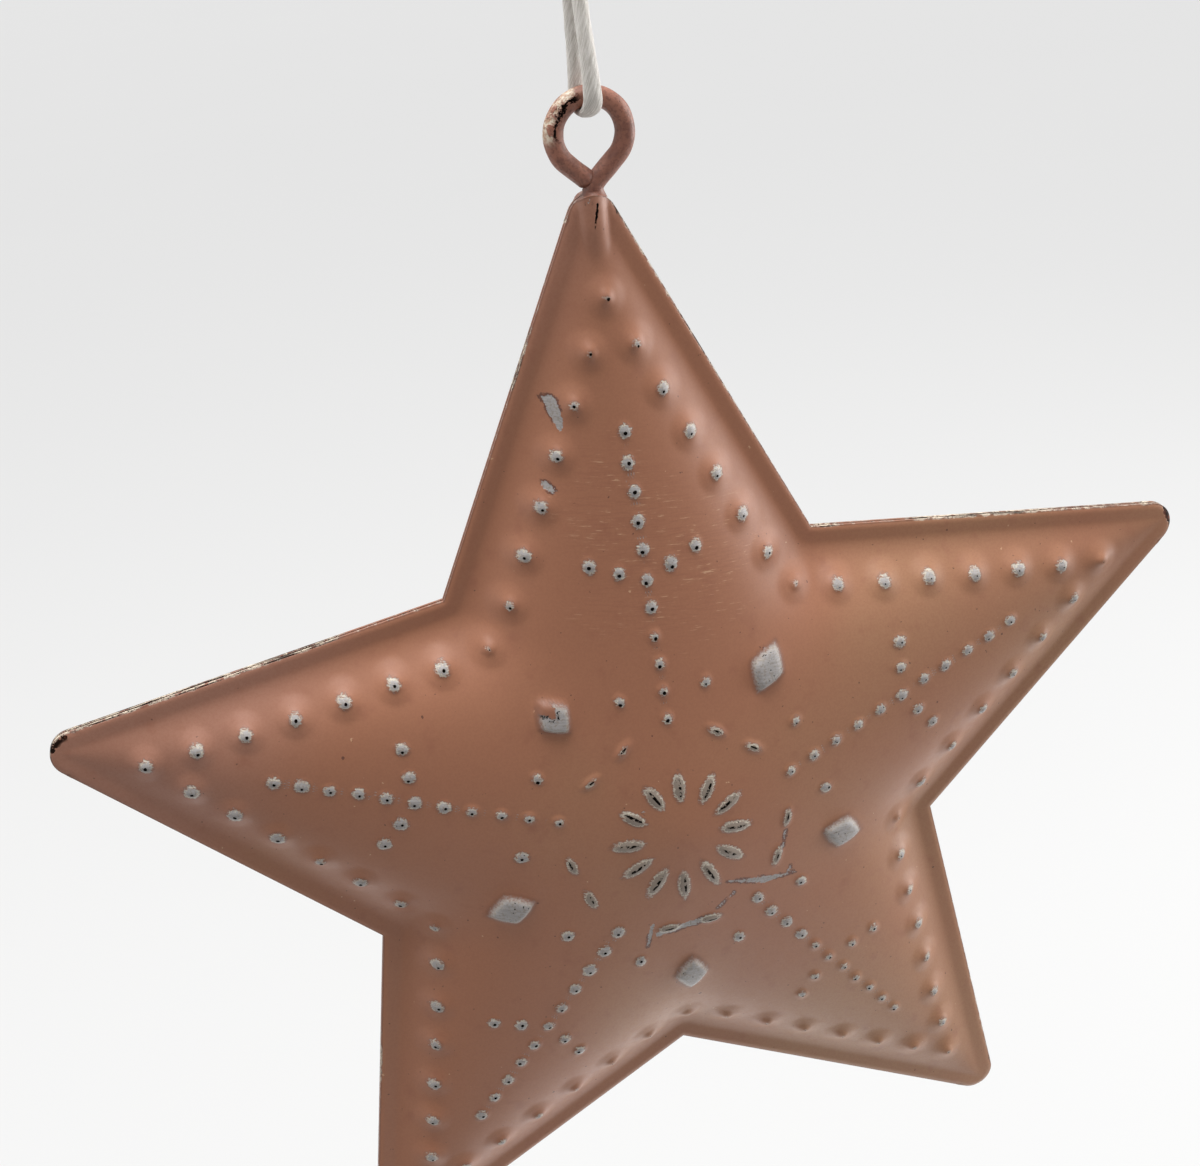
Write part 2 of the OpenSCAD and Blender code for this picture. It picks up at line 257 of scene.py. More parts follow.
CORD_TURN = np.radians(8)
BIGHT_PRESS, PRESS_REACH = 0.3, 1.3
PLY_TURN = 14.0
CORD_SPREAD, SPREAD_REACH = 0.4, 3.2
bight_r = WIRE_R + CORD_R + CORD_GAP
knot_half = CORD_R + KNOT_GAP
strand_t = np.array([1, 0.96, 0.8, 0.62, 0.44, 0.26, 0.1])
strand_x = knot_half + (bight_r - knot_half) * ((1 + np.cos(np.pi * strand_t)) / 2) ** 1.8
strand = np.stack([strand_x, strand_t * HANG_L], 1)
bight_a = np.radians(np.arange(0, 181, 18))
bight = bight_r * np.stack([np.cos(bight_a), -np.sin(bight_a)], 1)
flat = np.vstack([strand, bight, (strand * [-1, 1])[::-1]])
flat[[0, -1], 1] += -KNOT_GAP
across, height = flat.T
route = np.stack([-across * np.sin(CORD_TURN), across * np.cos(CORD_TURN), height - HANG_L], 1)
fine_route = smooth_line(resample(route, 0.12)[0], 20)
above_bight = fine_route[:, 2] + HANG_L + bight_r
fine_route[:, 2] += BIGHT_PRESS * np.exp(-(above_bight / PRESS_REACH) ** 2)
fine_route[:, 0] += eye_lean(fine_route[:, 2])
cord_side = np.array([np.cos(CORD_TURN), np.sin(CORD_TURN), 0.0])


def cord_radius(a, s):
    """Two plies: the radius is greatest along two helices and least between them, with small fibres."""
    ply = np.abs(np.cos(a - s * 2 * np.pi / PLY_TURN))
    fibres = 0.014 * np.sin(7 * a + 3 * s) + 0.008 * np.sin(11 * a - 4 * s)
    return CORD_R * (0.95 + 0.05 * ply ** 0.7 + fibres)


def cord_flat(s):
    """The soft cord spreads by two fifths where it bears on the wire, in the middle of its length."""
    return 1 + CORD_SPREAD * np.exp(-((s - s.max() / 2) / SPREAD_REACH) ** 2)


points, faces, along, around = sweep(fine_route, cord_side, cord_radius, 36, cord_flat)
cord = make_piece("cord", points, faces, None, 60, {"along": along, "around": around})
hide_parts("cord_loop")

# %% [markdown]
# ## The knot
# Just above the photograph the cord's two ends are tied in an overhand knot. Here each strand runs
# up, turns one and a half times round, and comes out at the top, where it is cut off square. Two
# strands wind side by side.

# %% The knot
KNOT_H, KNOT_R, CORD_ENDS = 3.2, 2.0, 2.6


def knot_strand(offset):
    """One strand's line, to one side of the middle: an upright run, a tilted coil of a little over one
    and a half turns that climbs, and an upright run out at the top."""
    t = np.linspace(0, 1, 9)
    still = np.ones(len(t))
    rise = np.stack([0.62 * offset * still, 0 * t, -0.05 + 0.55 * t], 1)
    a = np.linspace(0, 3.3 * np.pi, 60)
    wide = 1.28 + 0.12 * np.cos(2 * a)
    climb = 1.0 + 0.42 * offset + 1.15 * a / a[-1] + 0.42 * np.sin(a + 0.6)
    turns = np.stack([wide * np.cos(a) * 0.98, wide * np.sin(a), climb], 1)
    out = np.stack([0.72 * offset * still, 0.1 * still, KNOT_H - 0.5 + (CORD_ENDS + 0.45) * t], 1)
    return np.vstack([rise, turns, out])


all_points, all_faces, all_along, all_around = [], [], [], []
for offset in (-1, 1):
    line = smooth_line(resample(knot_strand(offset), 0.12)[0], 14)
    reach = np.maximum(np.hypot(line[:, 0], line[:, 1]), 1e-6)
    line[:, :2] *= np.minimum(1, (KNOT_R - CORD_R) / reach)[:, None]
    line[:, 2] = np.clip(line[:, 2], 0, KNOT_H + CORD_ENDS)
    p, f, s, a = sweep(line, carried_side(line, np.array([1.0, 0.0, 0.0])), cord_radius, 24)
    count = sum(len(q) for q in all_points)
    all_faces += [[i + count for i in face] for face in f]
    all_points.append(p)
    all_along.append(s)
    all_around.append(a)
knot = make_piece("knot", np.vstack(all_points), all_faces, "knot", 60,
    {"along": np.concatenate(all_along), "around": np.concatenate(all_around)})
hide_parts("cord_knot")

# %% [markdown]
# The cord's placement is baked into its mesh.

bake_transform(cord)

# %% [markdown]
# ## The punched pattern
# The same die shapes both halves, so one list of marks serves both: a row of bumps inside the
# border, a line of dots down each arm with a chevron across it, a diamond, two dots and two ovals in
# the line of each valley, and a flower of twelve petals in the middle. Each mark is a row of numbers:
# its place across and up from the star's centre, the way that it points, its length and width, how
# high it stands, how high and wide the sheet swells round it, its kind, how worn it is, a chance of
# its own, and the place and size of its pit. The kind is 1 for a diamond, 0 for a bump or a dot and
# -1 for an oval or a petal.

# %% The list of marks
rng = np.random.default_rng(21)
marks = []
MARK_FACTS = ("x", "z", "turn", "long", "wide", "high", "swell", "swell_r", "kind", "worn",
    "chance", "pit_x", "pit_z", "pit_long", "pit_wide")
FACT = {name: i for i, name in enumerate(MARK_FACTS)}


def fact(rows, name):
    """One number of a mark, or of every mark in an array."""
    return rows[..., FACT[name]]


def place(u, w, turn):
    """A point out along an arm and to its side, as across and up; the arm leans turn from upright."""
    return -u * np.sin(turn) - w * np.cos(turn), u * np.cos(turn) - w * np.sin(turn)


def add_mark(at, turn, long, wide, high, swell=(0.0, 1.0), kind=0.0, worn=0.7, pit=(0.36, 0.34)):
    """One mark for the list. Its place and size are varied a little, as a hand tool's are. The pit's
    size is one width, or a length and a width."""
    jitter = rng.normal(0, 0.05, 2)
    size = 1 + rng.normal(0, 0.03)
    pit_off = rng.normal(0, 0.07, 2) + [0, -0.12 if kind == 0 else 0]
    marks.append([at[0] + jitter[0], at[1] + jitter[1], turn + rng.normal(0, 0.05), long * size,
        wide * size, high, *swell, kind, worn, rng.random(), *pit_off, *np.broadcast_to(pit, 2)])


# %% [markdown]
# The real star's paint has not worn evenly: handling and the weather took more off some arms than off
# others. These lists say how worn each row is, and how large the dark pits in its middles are.

# %% How worn each arm is
# The arms go from the top one round to the left. For each: how far the paint has worn off the tip
# bump, the border row on the left hand side seen from the centre, the row on the right, and the ridge.
ARM_WEAR = [(0.3, 0.75, 0.8, 0.85), (0.9, 0.98, 0.8, 0.85), (0.7, 0.35, 0.8, 0.86),
    (0.3, 0.62, 0.22, 0.72), (0.1, 0.8, 0.72, 0.78)]
# The width of the pits in the middle of the same bumps, in mm.
ARM_PITS = [(0.26, 0.22, 0.2, 0.3), (0.3, 0.3, 0.26, 0.24), (0.2, 0.1, 0.22, 0.26),
    (0.1, 0.12, 0.1, 0.22), (0.1, 0.12, 0.12, 0.16)]
# The ridge's wear again, as shares of the above: its seven outer dots, and its four inner ones.
RIDGE_FADE = [(1.05, 0.75), (1.05, 0.75), (0.95, 1.1), (0.78, 1.25), (1.0, 0.9)]
# Shares along some border rows, from the tip inwards, for an arm and its side: 1 left, -1 right.
BORDER_FADE = {(0, 1): (0.4, 0.65, 1, 1, 1, 0.65), (0, -1): (0.55, 1, 1, 1, 1, 0.8),
    (1, 1): (1, 1, 1, 0.6, 0.9, 0.7), (2, 1): (1.9, 1.6, 1.35, 1, 0.6, 0.3)}
# In the line of the valley on each arm's left: the bump, the two dots as shares, and the two ovals.
VALLEY_WEAR = [0.33, 0.62, 0.12, 0.25, 0.34]
DOT_SHARE = [0.85, 1.1, 1.1, 1.1, 0.85]
OVAL_WEAR = [0.45, 0.85, 0.85, 0.8, 0.62]

# %% [markdown]
# The marks are laid out in an arm's own measures: out from the centre, and to the side. One loop
# over the arms puts every row in its place, and the flower comes last.

# %% Put the marks on the star
# Each kind of mark, in mm.
BUMP = dict(long=1.35, wide=1.35, high=0.3, swell=(0.4, 1.9))
VALLEY_BUMP = dict(long=1.3, wide=1.3, high=0.3, swell=(0.4, 1.9), pit=0.1)
RIDGE_DOT = dict(long=1.3, wide=1.2, high=0.28)
VALLEY_DOT = dict(long=1.3, wide=1.1, high=0.26)
DIAMOND = dict(high=0.6, swell=(0.12, 2.6), kind=1.0, pit=0.1)
OVAL = dict(long=2.2, wide=1.0, high=0.26, kind=-1.0)
PETAL = dict(wide=1.12, high=0.28, kind=-1.0, worn=1.0, pit=(1.6, 0.24))
# The petals' lengths, from the top one round to the left.
PETALS = [2.6, 2.35, 2.45, 2.65, 2.9, 3.0, 3.2, 3.4, 2.8, 2.75, 2.9, 2.5]
# How many there are and where they stand: U is out from the centre and W to the side. The border's
# row runs BORDER_IN inside the outline, and its bump in the valley stands VALLEY_OUT beyond the row.
BORDER_STEPS, BORDER_IN, VALLEY_OUT = 7, 4.5, 0.6
RIDGE_DOTS, OUTER_DOTS, RIDGE_STEP, RIDGE_START = 11, 7, 2.36, 34.4
CHEVRON_DOT, CHEVRON_STEP, CHEVRON_LEAN = 5, 2.4, np.radians(21)
DIAMOND_U, DOT_U, DOT_W, OVAL_U, OVAL_W, FLOWER_R = 15.83, 12.73, 4.65, 9.45, 1.89, 4.76

share = 1 - BORDER_IN / edge_r
border_tip, border_valley = share * tip_at, share * valley_at
for arm, (tip_wear, left_wear, right_wear, ridge_wear) in enumerate(ARM_WEAR):
    turn = arm * SECTOR
    tip_pit, left_pit, right_pit, ridge_pit = ARM_PITS[arm]
    for i in range(BORDER_STEPS):
        at = border_tip + (border_valley - border_tip) * i / BORDER_STEPS
        for side in ((1,) if i == 0 else (1, -1)):
            worn, pit = (left_wear, left_pit) if side > 0 else (right_wear, right_pit)
            if i == 0:
                worn, pit = tip_wear, tip_pit
            elif (arm, side) in BORDER_FADE:
                worn = worn * BORDER_FADE[arm, side][i - 1]
            add_mark(place(at[0], side * at[1], turn), turn, worn=worn, pit=pit, **BUMP)
    valley_bump = (np.linalg.norm(border_valley) + VALLEY_OUT) * valley_at / VALLEY_R
    add_mark(place(*valley_bump, turn), turn, worn=VALLEY_WEAR[arm], **VALLEY_BUMP)
    for i in range(RIDGE_DOTS):
        worn = ridge_wear * RIDGE_FADE[arm][0 if i < OUTER_DOTS else 1]
        at = place(RIDGE_START - RIDGE_STEP * i, 0, turn)
        add_mark(at, turn, worn=worn, pit=ridge_pit, **RIDGE_DOT)
    for side in (1, -1):
        for i in (1, 2):
            u = RIDGE_START - CHEVRON_DOT * RIDGE_STEP + CHEVRON_STEP * i * np.sin(CHEVRON_LEAN)
            at = place(u, side * CHEVRON_STEP * i * np.cos(CHEVRON_LEAN), turn)
            add_mark(at, turn, worn=ridge_wear * RIDGE_FADE[arm][0], pit=ridge_pit, **RIDGE_DOT)
    turn += SECTOR / 2
    if arm == 0:
        # This diamond was struck a little nearer the centre than the others, and shorter.
        add_mark(place(DIAMOND_U - 0.33, 0.1, turn), turn, 3.5, 3.0, worn=0.9, **DIAMOND)
    else:
        add_mark(place(DIAMOND_U, 0, turn), turn, 3.9, 2.9, worn=1.0, **DIAMOND)
    for side in (1, -1):
        at = place(DOT_U, DOT_W * side, turn)
        add_mark(at, turn, worn=ridge_wear * DOT_SHARE[arm], pit=ridge_pit, **VALLEY_DOT)
        at, pit = place(OVAL_U, OVAL_W * side, turn), (0.5 * OVAL_WEAR[arm] + 0.45, 0.16)
        add_mark(at, turn + np.pi / 2, worn=OVAL_WEAR[arm], pit=pit, **OVAL)
for i, petal_l in enumerate(PETALS):
    turn = np.radians(-3 + 360 * i / len(PETALS))
    add_mark(place(FLOWER_R, 0, turn), turn, petal_l, **PETAL)
marks = np.array(marks)
print(len(marks), "marks on each half")

# %% [markdown]
# The paint has also chipped between the marks, and rubbed off along some edges. Each place is a
# capsule: a line from one point to another on the star, in mm across and up from its centre, with a
# radius at each end. The edges of the chips, the crack and the paint left on one diamond are sharp,
# so the mesh carries the distance to them; the other wear fades out, so it carries a strength.

# %% Chips, rubbed places and the crack
CHIPS = [
    # The long chip beside the top arm's left row, and the small one under it.
    (-5.3, 37.3, -5.0, 35.9, 0.48, 0.4), (-5.0, 35.9, -4.8, 35.0, 0.4, 0.12),
    (-5.9, 37.6, -5.5, 37.3, 0.16, 0.3), (-6.75, 30.95, -6.2, 30.5, 0.3, 0.22),
    # The scratches under the flower and to its right, and small spots near them.
    (-2.8, -9.9, 2.3, -9.3, 0.32, 0.28), (-0.9, -9.8, 0.6, -9.5, 0.12, 0.14),
    (-3.3, -8.8, -3.9, -11.2, 0.2, 0.07), (3.6, -5.8, 7.0, -6.85, 0.07, 0.32),
    (7.0, -6.85, 8.4, -7.0, 0.34, 0.2), (8.4, -7.0, 10.1, -7.25, 0.17, 0.05),
    (9.4, -2.4, 8.9, -4.4, 0.08, 0.12), (2.6, -8.6, 4.2, -7.2, 0.1, 0.06),
    (-3.2, 3.2, -3.0, 3.0, 0.14, 0.1), (9.4, -7.0, 9.7, -6.4, 0.1, 0.1),
    # A spot at the very tip.
    (-0.35, 52.0, -0.3, 52.05, 0.18, 0.16)]
RUBBED = [
    # The upper edges of the left arm and of the right one.
    (-50, 16.4, -44, 18.0, 0.9, 0.9), (-44, 18.0, -26, 20.6, 1.1, 0.8),
    (50, 16.2, 40, 17.8, 0.7, 0.9), (40, 17.8, 26, 20.8, 0.8, 0.9),
    # The top arm's left edge, the lower right arm's right edge, and the top arm's right edge.
    (-7.0, 42.8, -8.0, 39.4, 0.9, 0.9), (26, -16, 30.4, -38, 0.8, 1.0),
    (30.4, -38, 29.4, -44, 1.0, 1.0), (1.5, 51, 17.5, 21.5, 0.7, 0.8),
    # Short places on the top arm and on the lower left one.
    (-14.4, 22.6, -12.2, 27, 0.7, 0.6), (-31.8, -43, -32.4, -40, 0.8, 0.7),
    (-28.0, -21.6, -27.7, -22.4, 1.6, 1.6)]
BARE_STEEL = [(-49.6, 16.4, -48.3, 17.3, 0.35, 0.2), (50.0, 15.4, 49.6, 17.2, 0.35, 0.5)]
PAINT_LEFT = [(-10.6, 13.7, -9.6, 13.4, 0.6, 0.45), (-9.5, 13.2, -9.3, 12.8, 0.35, 0.2)]
CRACK = [(0.3, 51.8, 0.1, 50.9, 0.07, 0.1), (0.1, 50.9, -0.15, 49.9, 0.09, 0.04),
    (-0.2, 49.0, -0.1, 48.7, 0.04, 0.03)]
SCUFFED = [(-2, 29, 5.5, 23, 4.5, 4.5), (-3, 21, 4, 19, 2.5, 2.5)]


def capsules(x, z, list_of):
    """Distance to the nearest capsule of a list, below 0 inside it."""
    nearest = np.full(len(x), 99.0)
    for x0, z0, x1, z1, r0, r1 in list_of:
        dx, dz = x1 - x0, z1 - z0
        t = np.clip(((x - x0) * dx + (z - z0) * dz) / (dx * dx + dz * dz), 0, 1)
        nearest = np.minimum(nearest, np.hypot(x - x0 - t * dx, z - z0 - t * dz) - r0 - t * (r1 - r0))
    return nearest


print(len(CHIPS), "chips and scratches,", len(RUBBED) + len(BARE_STEEL), "rubbed places")

# %% [markdown]
# ## The pressed half
# The dome's height over the flange is worked out from the distance to the star's outline. It rises
# from the flange as a power of that distance, and turns softly into a crown that falls from the
# centre to the tips. Two walls meet in a rounded ridge down the middle of each arm.

# %% The dome's height
def in_arm(x, z):
    """Across and up turned into out along the nearest arm and to its side."""
    a = np.arctan2(-x, z)
    b = a - SECTOR * np.round(a / SECTOR)
    rho = np.hypot(x, z)
    return rho * np.cos(b), rho * np.sin(b)


def edge_distance(u, w):
    """Distance to the straight edge on the w side, or to the valley's corner beyond its end."""
    t = (u - TIP_R) * edge_way[0] + w * edge_way[1]
    straight = edge_r - edge_out[0] * u - edge_out[1] * w
    return np.where(t <= edge_l, straight, np.hypot(u - valley_at[0], w - valley_at[1]))


def outline_distance(x, z):
    """The nearer of the two edges of the arm that a point lies in, and the round of the tip."""
    u, w = in_arm(x, z)
    d = np.minimum(edge_distance(u, w), edge_distance(u, -w))
    return np.where(u > arc_x, np.minimum(d, TIP_ROUND - np.hypot(u - arc_x, w)), d)


def dome_height(x, z):
    """wall = WALL_H (inside / WALL_W) ^ WALL_POWER and crown = CROWN_H - fall * (distance from the
    centre), blended so that the lower wins. The ridge between an arm's two walls is rounder near the
    tip, where the blend's power falls by RIDGE_EASE."""
    u, w = in_arm(x, z)
    a = np.maximum(edge_distance(u, w) - FLANGE, 1e-4)
    b = np.maximum(edge_distance(u, -w) - FLANGE, 1e-4)
    blend = RIDGE_BLEND - RIDGE_EASE * np.clip((u - 36) / 12, 0, 1)
    inside = (a ** -blend + b ** -blend) ** (-1 / blend)
    wall = WALL_H * (inside / WALL_W) ** WALL_POWER
    crown = CROWN_H - fall * (np.hypot(np.hypot(x, z), CROWN_FLAT) - CROWN_FLAT)
    crown = np.maximum(crown, 0.02)
    return (wall ** -CROWN_BLEND + crown ** -CROWN_BLEND) ** (-1 / CROWN_BLEND)


# %% [markdown]
# Each mark adds a small hill to the dome. Its shape is worked out in the mark's own frame, in which
# its rim is at distance 1: a round or oval hill from the ordinary distance, and a diamond's flat top
# from the sum of the two offsets. The same offsets go to the mesh as named values, so the paint can
# wear off in rings that follow every mark.

# %% The marks' hills, and the values for the paint
def nearest_mark(x, z):
    """For each point: the number of the nearest mark in that mark's own measure, and how much
    further the second nearest is."""
    best, second, number = np.full(len(x), 1e9), np.full(len(x), 1e9), np.zeros(len(x), int)
    for i, m in enumerate(marks):
        radius = 0.25 * (fact(m, "long") + fact(m, "wide"))
        d = np.hypot(x - fact(m, "x"), z - fact(m, "z")) / radius
        second = np.minimum(second, np.maximum(d, best))
        near = d < best
        best[near], number[near] = d[near], i
    return number, second - best


def mark_frame(x, z, m):
    """Offsets in mm along and across a mark."""
    dx, dz = x - fact(m, "x"), z - fact(m, "z")
    s, c = np.sin(fact(m, "turn")), np.cos(fact(m, "turn"))
    return -dx * s + dz * c, -dx * c - dz * s


# A power of 1 would give a diamond sharp corners, and 2 would make it round.
DIAMOND_POWER = 1.25


def hill(r):
    """A smooth hill: 1 at the middle, 0 from the rim outwards."""
    return np.clip(1 - r ** 2, 0, 1) ** 1.5


def marks_height(x, z):
    """The hill and the broad swell of the nearest mark, and what the neighbours' swells add."""
    m = marks[nearest_mark(x, z)[0]]
    along, across = mark_frame(x, z, m)
    along, across = along / (fact(m, "long") / 2), across / (fact(m, "wide") / 2)
    power = DIAMOND_POWER
    r_square = (np.abs(along) ** power + np.abs(across) ** power) ** (1 / power)
    flat_top = np.clip(2.3 * (1.04 - r_square), 0, 1)
    round_top = hill(np.hypot(along, across) / 1.15)
    shape = np.where(fact(m, "kind") > 0.5, flat_top * (2 - flat_top), round_top)
    height = fact(m, "high") * shape
    for k in marks[fact(marks, "swell") > 0]:
        d = np.hypot(x - fact(k, "x"), z - fact(k, "z")) / fact(k, "swell_r")
        near = d < 1
        height[near] += fact(k, "swell") * (1 - d[near] ** 2) ** 2
    return height


def paint_values(x, z):
    """What the paint reads: offsets in the mark and its pit, how worn it is, and the wear round it."""
    number, gap = nearest_mark(x, z)
    m = marks[number]
    along, across = mark_frame(x, z, m)
    unit_along, unit_across = along / (fact(m, "long") / 2), across / (fact(m, "wide") / 2)
    r = np.hypot(unit_along, unit_across)
    near = np.clip((1.5 - r) / 0.2, 0, 1) * np.clip((gap - 0.5) / 0.4, 0, 1)
    s, c = np.sin(fact(m, "turn")), np.cos(fact(m, "turn"))
    px, pz = fact(m, "pit_x"), fact(m, "pit_z")
    pit_along = (along + px * s - pz * c) / (fact(m, "pit_long") / 2)
    pit_across = (across + px * c + pz * s) / (fact(m, "pit_wide") / 2)

    def fade(list_of, soft):
        """A strength: 1 well inside a capsule, a half at its rim and 0 outside."""
        return np.clip(-capsules(x, z, list_of) / soft + 0.5, 0, 1)

    return {
        "mark_at": np.stack([unit_along, unit_across, fact(m, "kind")], 1),
        "mark_is": np.stack([near, fact(m, "worn"), fact(m, "chance")], 1),
        "pit_at": np.stack([pit_along, pit_across, near], 1),
        "wear": np.stack([fade(RUBBED, 1.0), fade(SCUFFED, 4.0), fade(BARE_STEEL, 0.6)], 1),
        "chip": np.minimum(capsules(x, z, CHIPS), 3),
        "crack": np.minimum(capsules(x, z, CRACK), 3),
        "kept": np.minimum(capsules(x, z, PAINT_LEFT), 3),
        "edge": outline_distance(x, z)}


# %% [markdown]
# An arm and the two half valleys beside it make a kite with its corners at the centre, the two
# valleys and the tip. A square grid is stretched over the kite, and the sharp tip is then drawn in to
# its round. Five kites, welded along their shared sides, cover the star with even, small faces.

# %% The star's grid
def kite(n):
    """P = a(1-b) V1 + (1-a)b V2 + ab T, out along the arm and to its side, with the tip drawn in."""
    t = np.linspace(0, 1, n + 1)
    a, b = np.meshgrid(t, t, indexing="ij")
    p = (a * (1 - b))[..., None] * valley_at + ((1 - a) * b)[..., None] * (valley_at * [1, -1])
    p = p + (a * b)[..., None] * tip_at
    v = p - [arc_x, 0]
    way = np.abs(np.arctan2(v[..., 1], v[..., 0]))
    foot = np.arctan2(edge_out[1], edge_out[0])
    pull = np.where(way < foot, np.cos(way - foot), 1)
    return np.array([arc_x, 0]) + v * pull[..., None]


def star_grid(n):
    """The five kites' points, and the grid of point numbers of each kite. Points that fall in the same
    two thousandth of a millimetre are welded."""
    uw = kite(n).reshape(-1, 2)
    xz = np.concatenate([np.stack(place(uw[:, 0], uw[:, 1], k * SECTOR), 1) for k in range(ARMS)])
    whole = np.round(xz * 2000).astype(int)
    _, first, number = np.unique(whole, axis=0, return_index=True, return_inverse=True)
    return xz[first], number.reshape(ARMS, n + 1, n + 1)


FINE, COARSE = 135, 15
fine, fine_no = star_grid(FINE)
print("outer skin:", len(fine), "points, about", round(edge_l / FINE, 2), "mm apart")

# %% [markdown]
# The outer skin carries the pattern. The inner skin never shows, so its faces are larger, but it
# shares every point of the outline, and a narrow wall joins the two there: the half is a closed
# sheet, 0.4 mm thick, as the real one is.

# %% Build the two halves
def round_edge(d):
    """The cut edge of the sheet is rounded: a drop that dies away inside the outline."""
    return 0.15 * np.exp(-(d / 0.2) ** 2)


CHANNEL_R, CHANNEL_L, CHANNEL_RISE = WIRE_R + SHEET, 6.5, 4.0


def wire_bulge(x, z):
    """The half round channel pressed out over the wire's tail, which sinks into the arm lower down."""
    run = np.clip((z - (apex_r - CHANNEL_L)) / CHANNEL_RISE, 0, 1)
    return np.sqrt(np.clip(CHANNEL_R ** 2 - (x * (1 + 0.15 * (1 - run))) ** 2, 0, None)) * run ** 0.5


def outer_height(x, z):
    """Height of the painted face over the middle plane."""
    d = outline_distance(x, z)
    face = dome_height(x, z) + SHEET - round_edge(d)
    face = face + marks_height(x, z)
    bulge = wire_bulge(x, z)
    return (face ** 6 + bulge ** 6) ** (1 / 6) + SEAM / 2


def inner_skin(step):
    """Faces of every step-th grid line, whose outermost faces keep all the points of the outline."""
    faces = []
    lines = np.arange(0, FINE + 1, step)
    for g in fine_no:
        a, b = np.meshgrid(lines[:-2], lines[:-2], indexing="ij")
        q = np.stack([g[a, b], g[a, b + step], g[a + step, b + step], g[a + step, b]], -1)
        faces += q.reshape(-1, 4).tolist()
        last = lines[-2]
        for b in lines[:-2]:
            faces.append([g[last, b], g[last, b + step]] + g[FINE, b:b + step + 1][::-1].tolist())
            faces.append([g[b + step, last], g[b, last]] + g[b:b + step + 1, FINE].tolist())
        faces.append([g[last, last]] + g[last:, FINE].tolist() + g[FINE, last:-1][::-1].tolist())
    return faces


# How many mm shorter each arm was cut than the pattern, from the top one round to the left.
TIP_SHORT = [-0.55, 0.9, 0.0, 0.4, 0.0]


def hand_cut(x, z):
    """Across and up as the snips left them: along each arm, a point moves in by its arm's shortness
    times its share of the way from the valleys to the tip."""
    a = np.arctan2(-x, z)
    arm = np.round(a / SECTOR)
    way = arm * SECTOR
    out_u = -np.sin(way), np.cos(way)
    u = x * out_u[0] + z * out_u[1]
    short = np.array(TIP_SHORT)[arm.astype(int) % ARMS]
    pull = short * np.clip((u - valley_at[0]) / (apex_r - valley_at[0]), 0, 1)
    return x - pull * out_u[0], z - pull * out_u[1]


def shell(name, sign):
    """One half: sign -1 is the front, which faces -Y, and +1 the back."""
    x, z = fine.T
    count = len(fine)
    cut_x, cut_z = hand_cut(x, z)
    outer = np.stack([cut_x, sign * outer_height(x, z), cut_z + star_z], 1)
    lift = dome_height(x, z) * (outline_distance(x, z) > 1e-6) + SEAM / 2
    inner = np.stack([cut_x, sign * lift, cut_z + star_z], 1)
    g = fine_no
    quads = np.stack([g[:, :-1, :-1], g[:, :-1, 1:], g[:, 1:, 1:], g[:, 1:, :-1]], -1).reshape(-1, 4)
    skin_in = inner_skin(FINE // COARSE)
    used = np.unique(np.concatenate([np.array(f) for f in skin_in]))
    number = np.full(count, -1)
    number[used] = count + np.arange(len(used))
    wall = []
    for grid in g:
        rim = np.r_[grid[FINE, :], grid[:-1, FINE][::-1]]
        wall.append(np.stack([rim[:-1], rim[1:], number[rim[1:]], number[rim[:-1]]], 1))
    wall = np.concatenate(wall)
    faces = quads.tolist() + [number[f][::-1].tolist() for f in skin_in] + wall.tolist()
    if sign > 0:
        faces = [f[::-1] for f in faces]
    values = paint_values(x, z)
    values = {k: np.concatenate([v, v[used]]) for k, v in values.items()}
    values["mark_is"][count:] = 0
    return make_piece(name, np.vstack([outer, inner[used]]), faces, "star", 50, values)


front = shell("front_half", -1)
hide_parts("front_shell")
back_half = shell("back_half", 1)
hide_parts("back_shell")

# %% [markdown]
# Solder holds the two flanges together. It is a thin flat ring that stops a little short of the cut
# edges, so a dark groove shows between them: four loops of points, out and in, front and back.

# %% The seam of solder
SOLDER_OUT, SOLDER_IN = 0.25, 1.275


def seam():
    """Each loop is the outline drawn towards the centre by a share, at plus or minus half the seam."""
    rims = [np.r_[g[FINE, 1:], g[:-1, FINE][::-1]] for g in fine_no[::-1]]
    x, z = fine[np.concatenate(rims)].T
    loops = []
    for inset, y in ((SOLDER_OUT, -1), (SOLDER_OUT, 1), (SOLDER_IN, 1), (SOLDER_IN, -1)):
        across, height = hand_cut(x * (1 - inset / edge_r), z * (1 - inset / edge_r))
        loops.append(np.stack([across, np.full(len(x), y * SEAM / 2), height + star_z], 1))
    faces = grid_faces(5, len(x))
    return np.vstack(loops), [[i % (4 * len(x)) for i in f] for f in faces]


points, faces = seam()
seam_film = make_piece("seam_film", points, faces, "star", 30)
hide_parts("seam_solder")

# %% [markdown]
# ## The hanging eye
# One piece of 1.6 mm wire, bent with pliers: from its cut end at the lower left, up round the ring
# and down the other side, then bent into the neck and down into the star. The path is laid out from
# straight runs and arcs, a little rounder than the CAD's ring, and the wire's own thickness varies
# by a few hundredths under the paint.

# %% The eye
def arc(centre, r, start, turn, steps):
    """Points on an arc in the upright plane Y = 0, angles in radians from +X towards +Z."""
    a = start + turn * np.linspace(0, 1, steps)
    return np.stack([centre[0] + r * np.cos(a), 0 * a, centre[1] + r * np.sin(a)], 1)


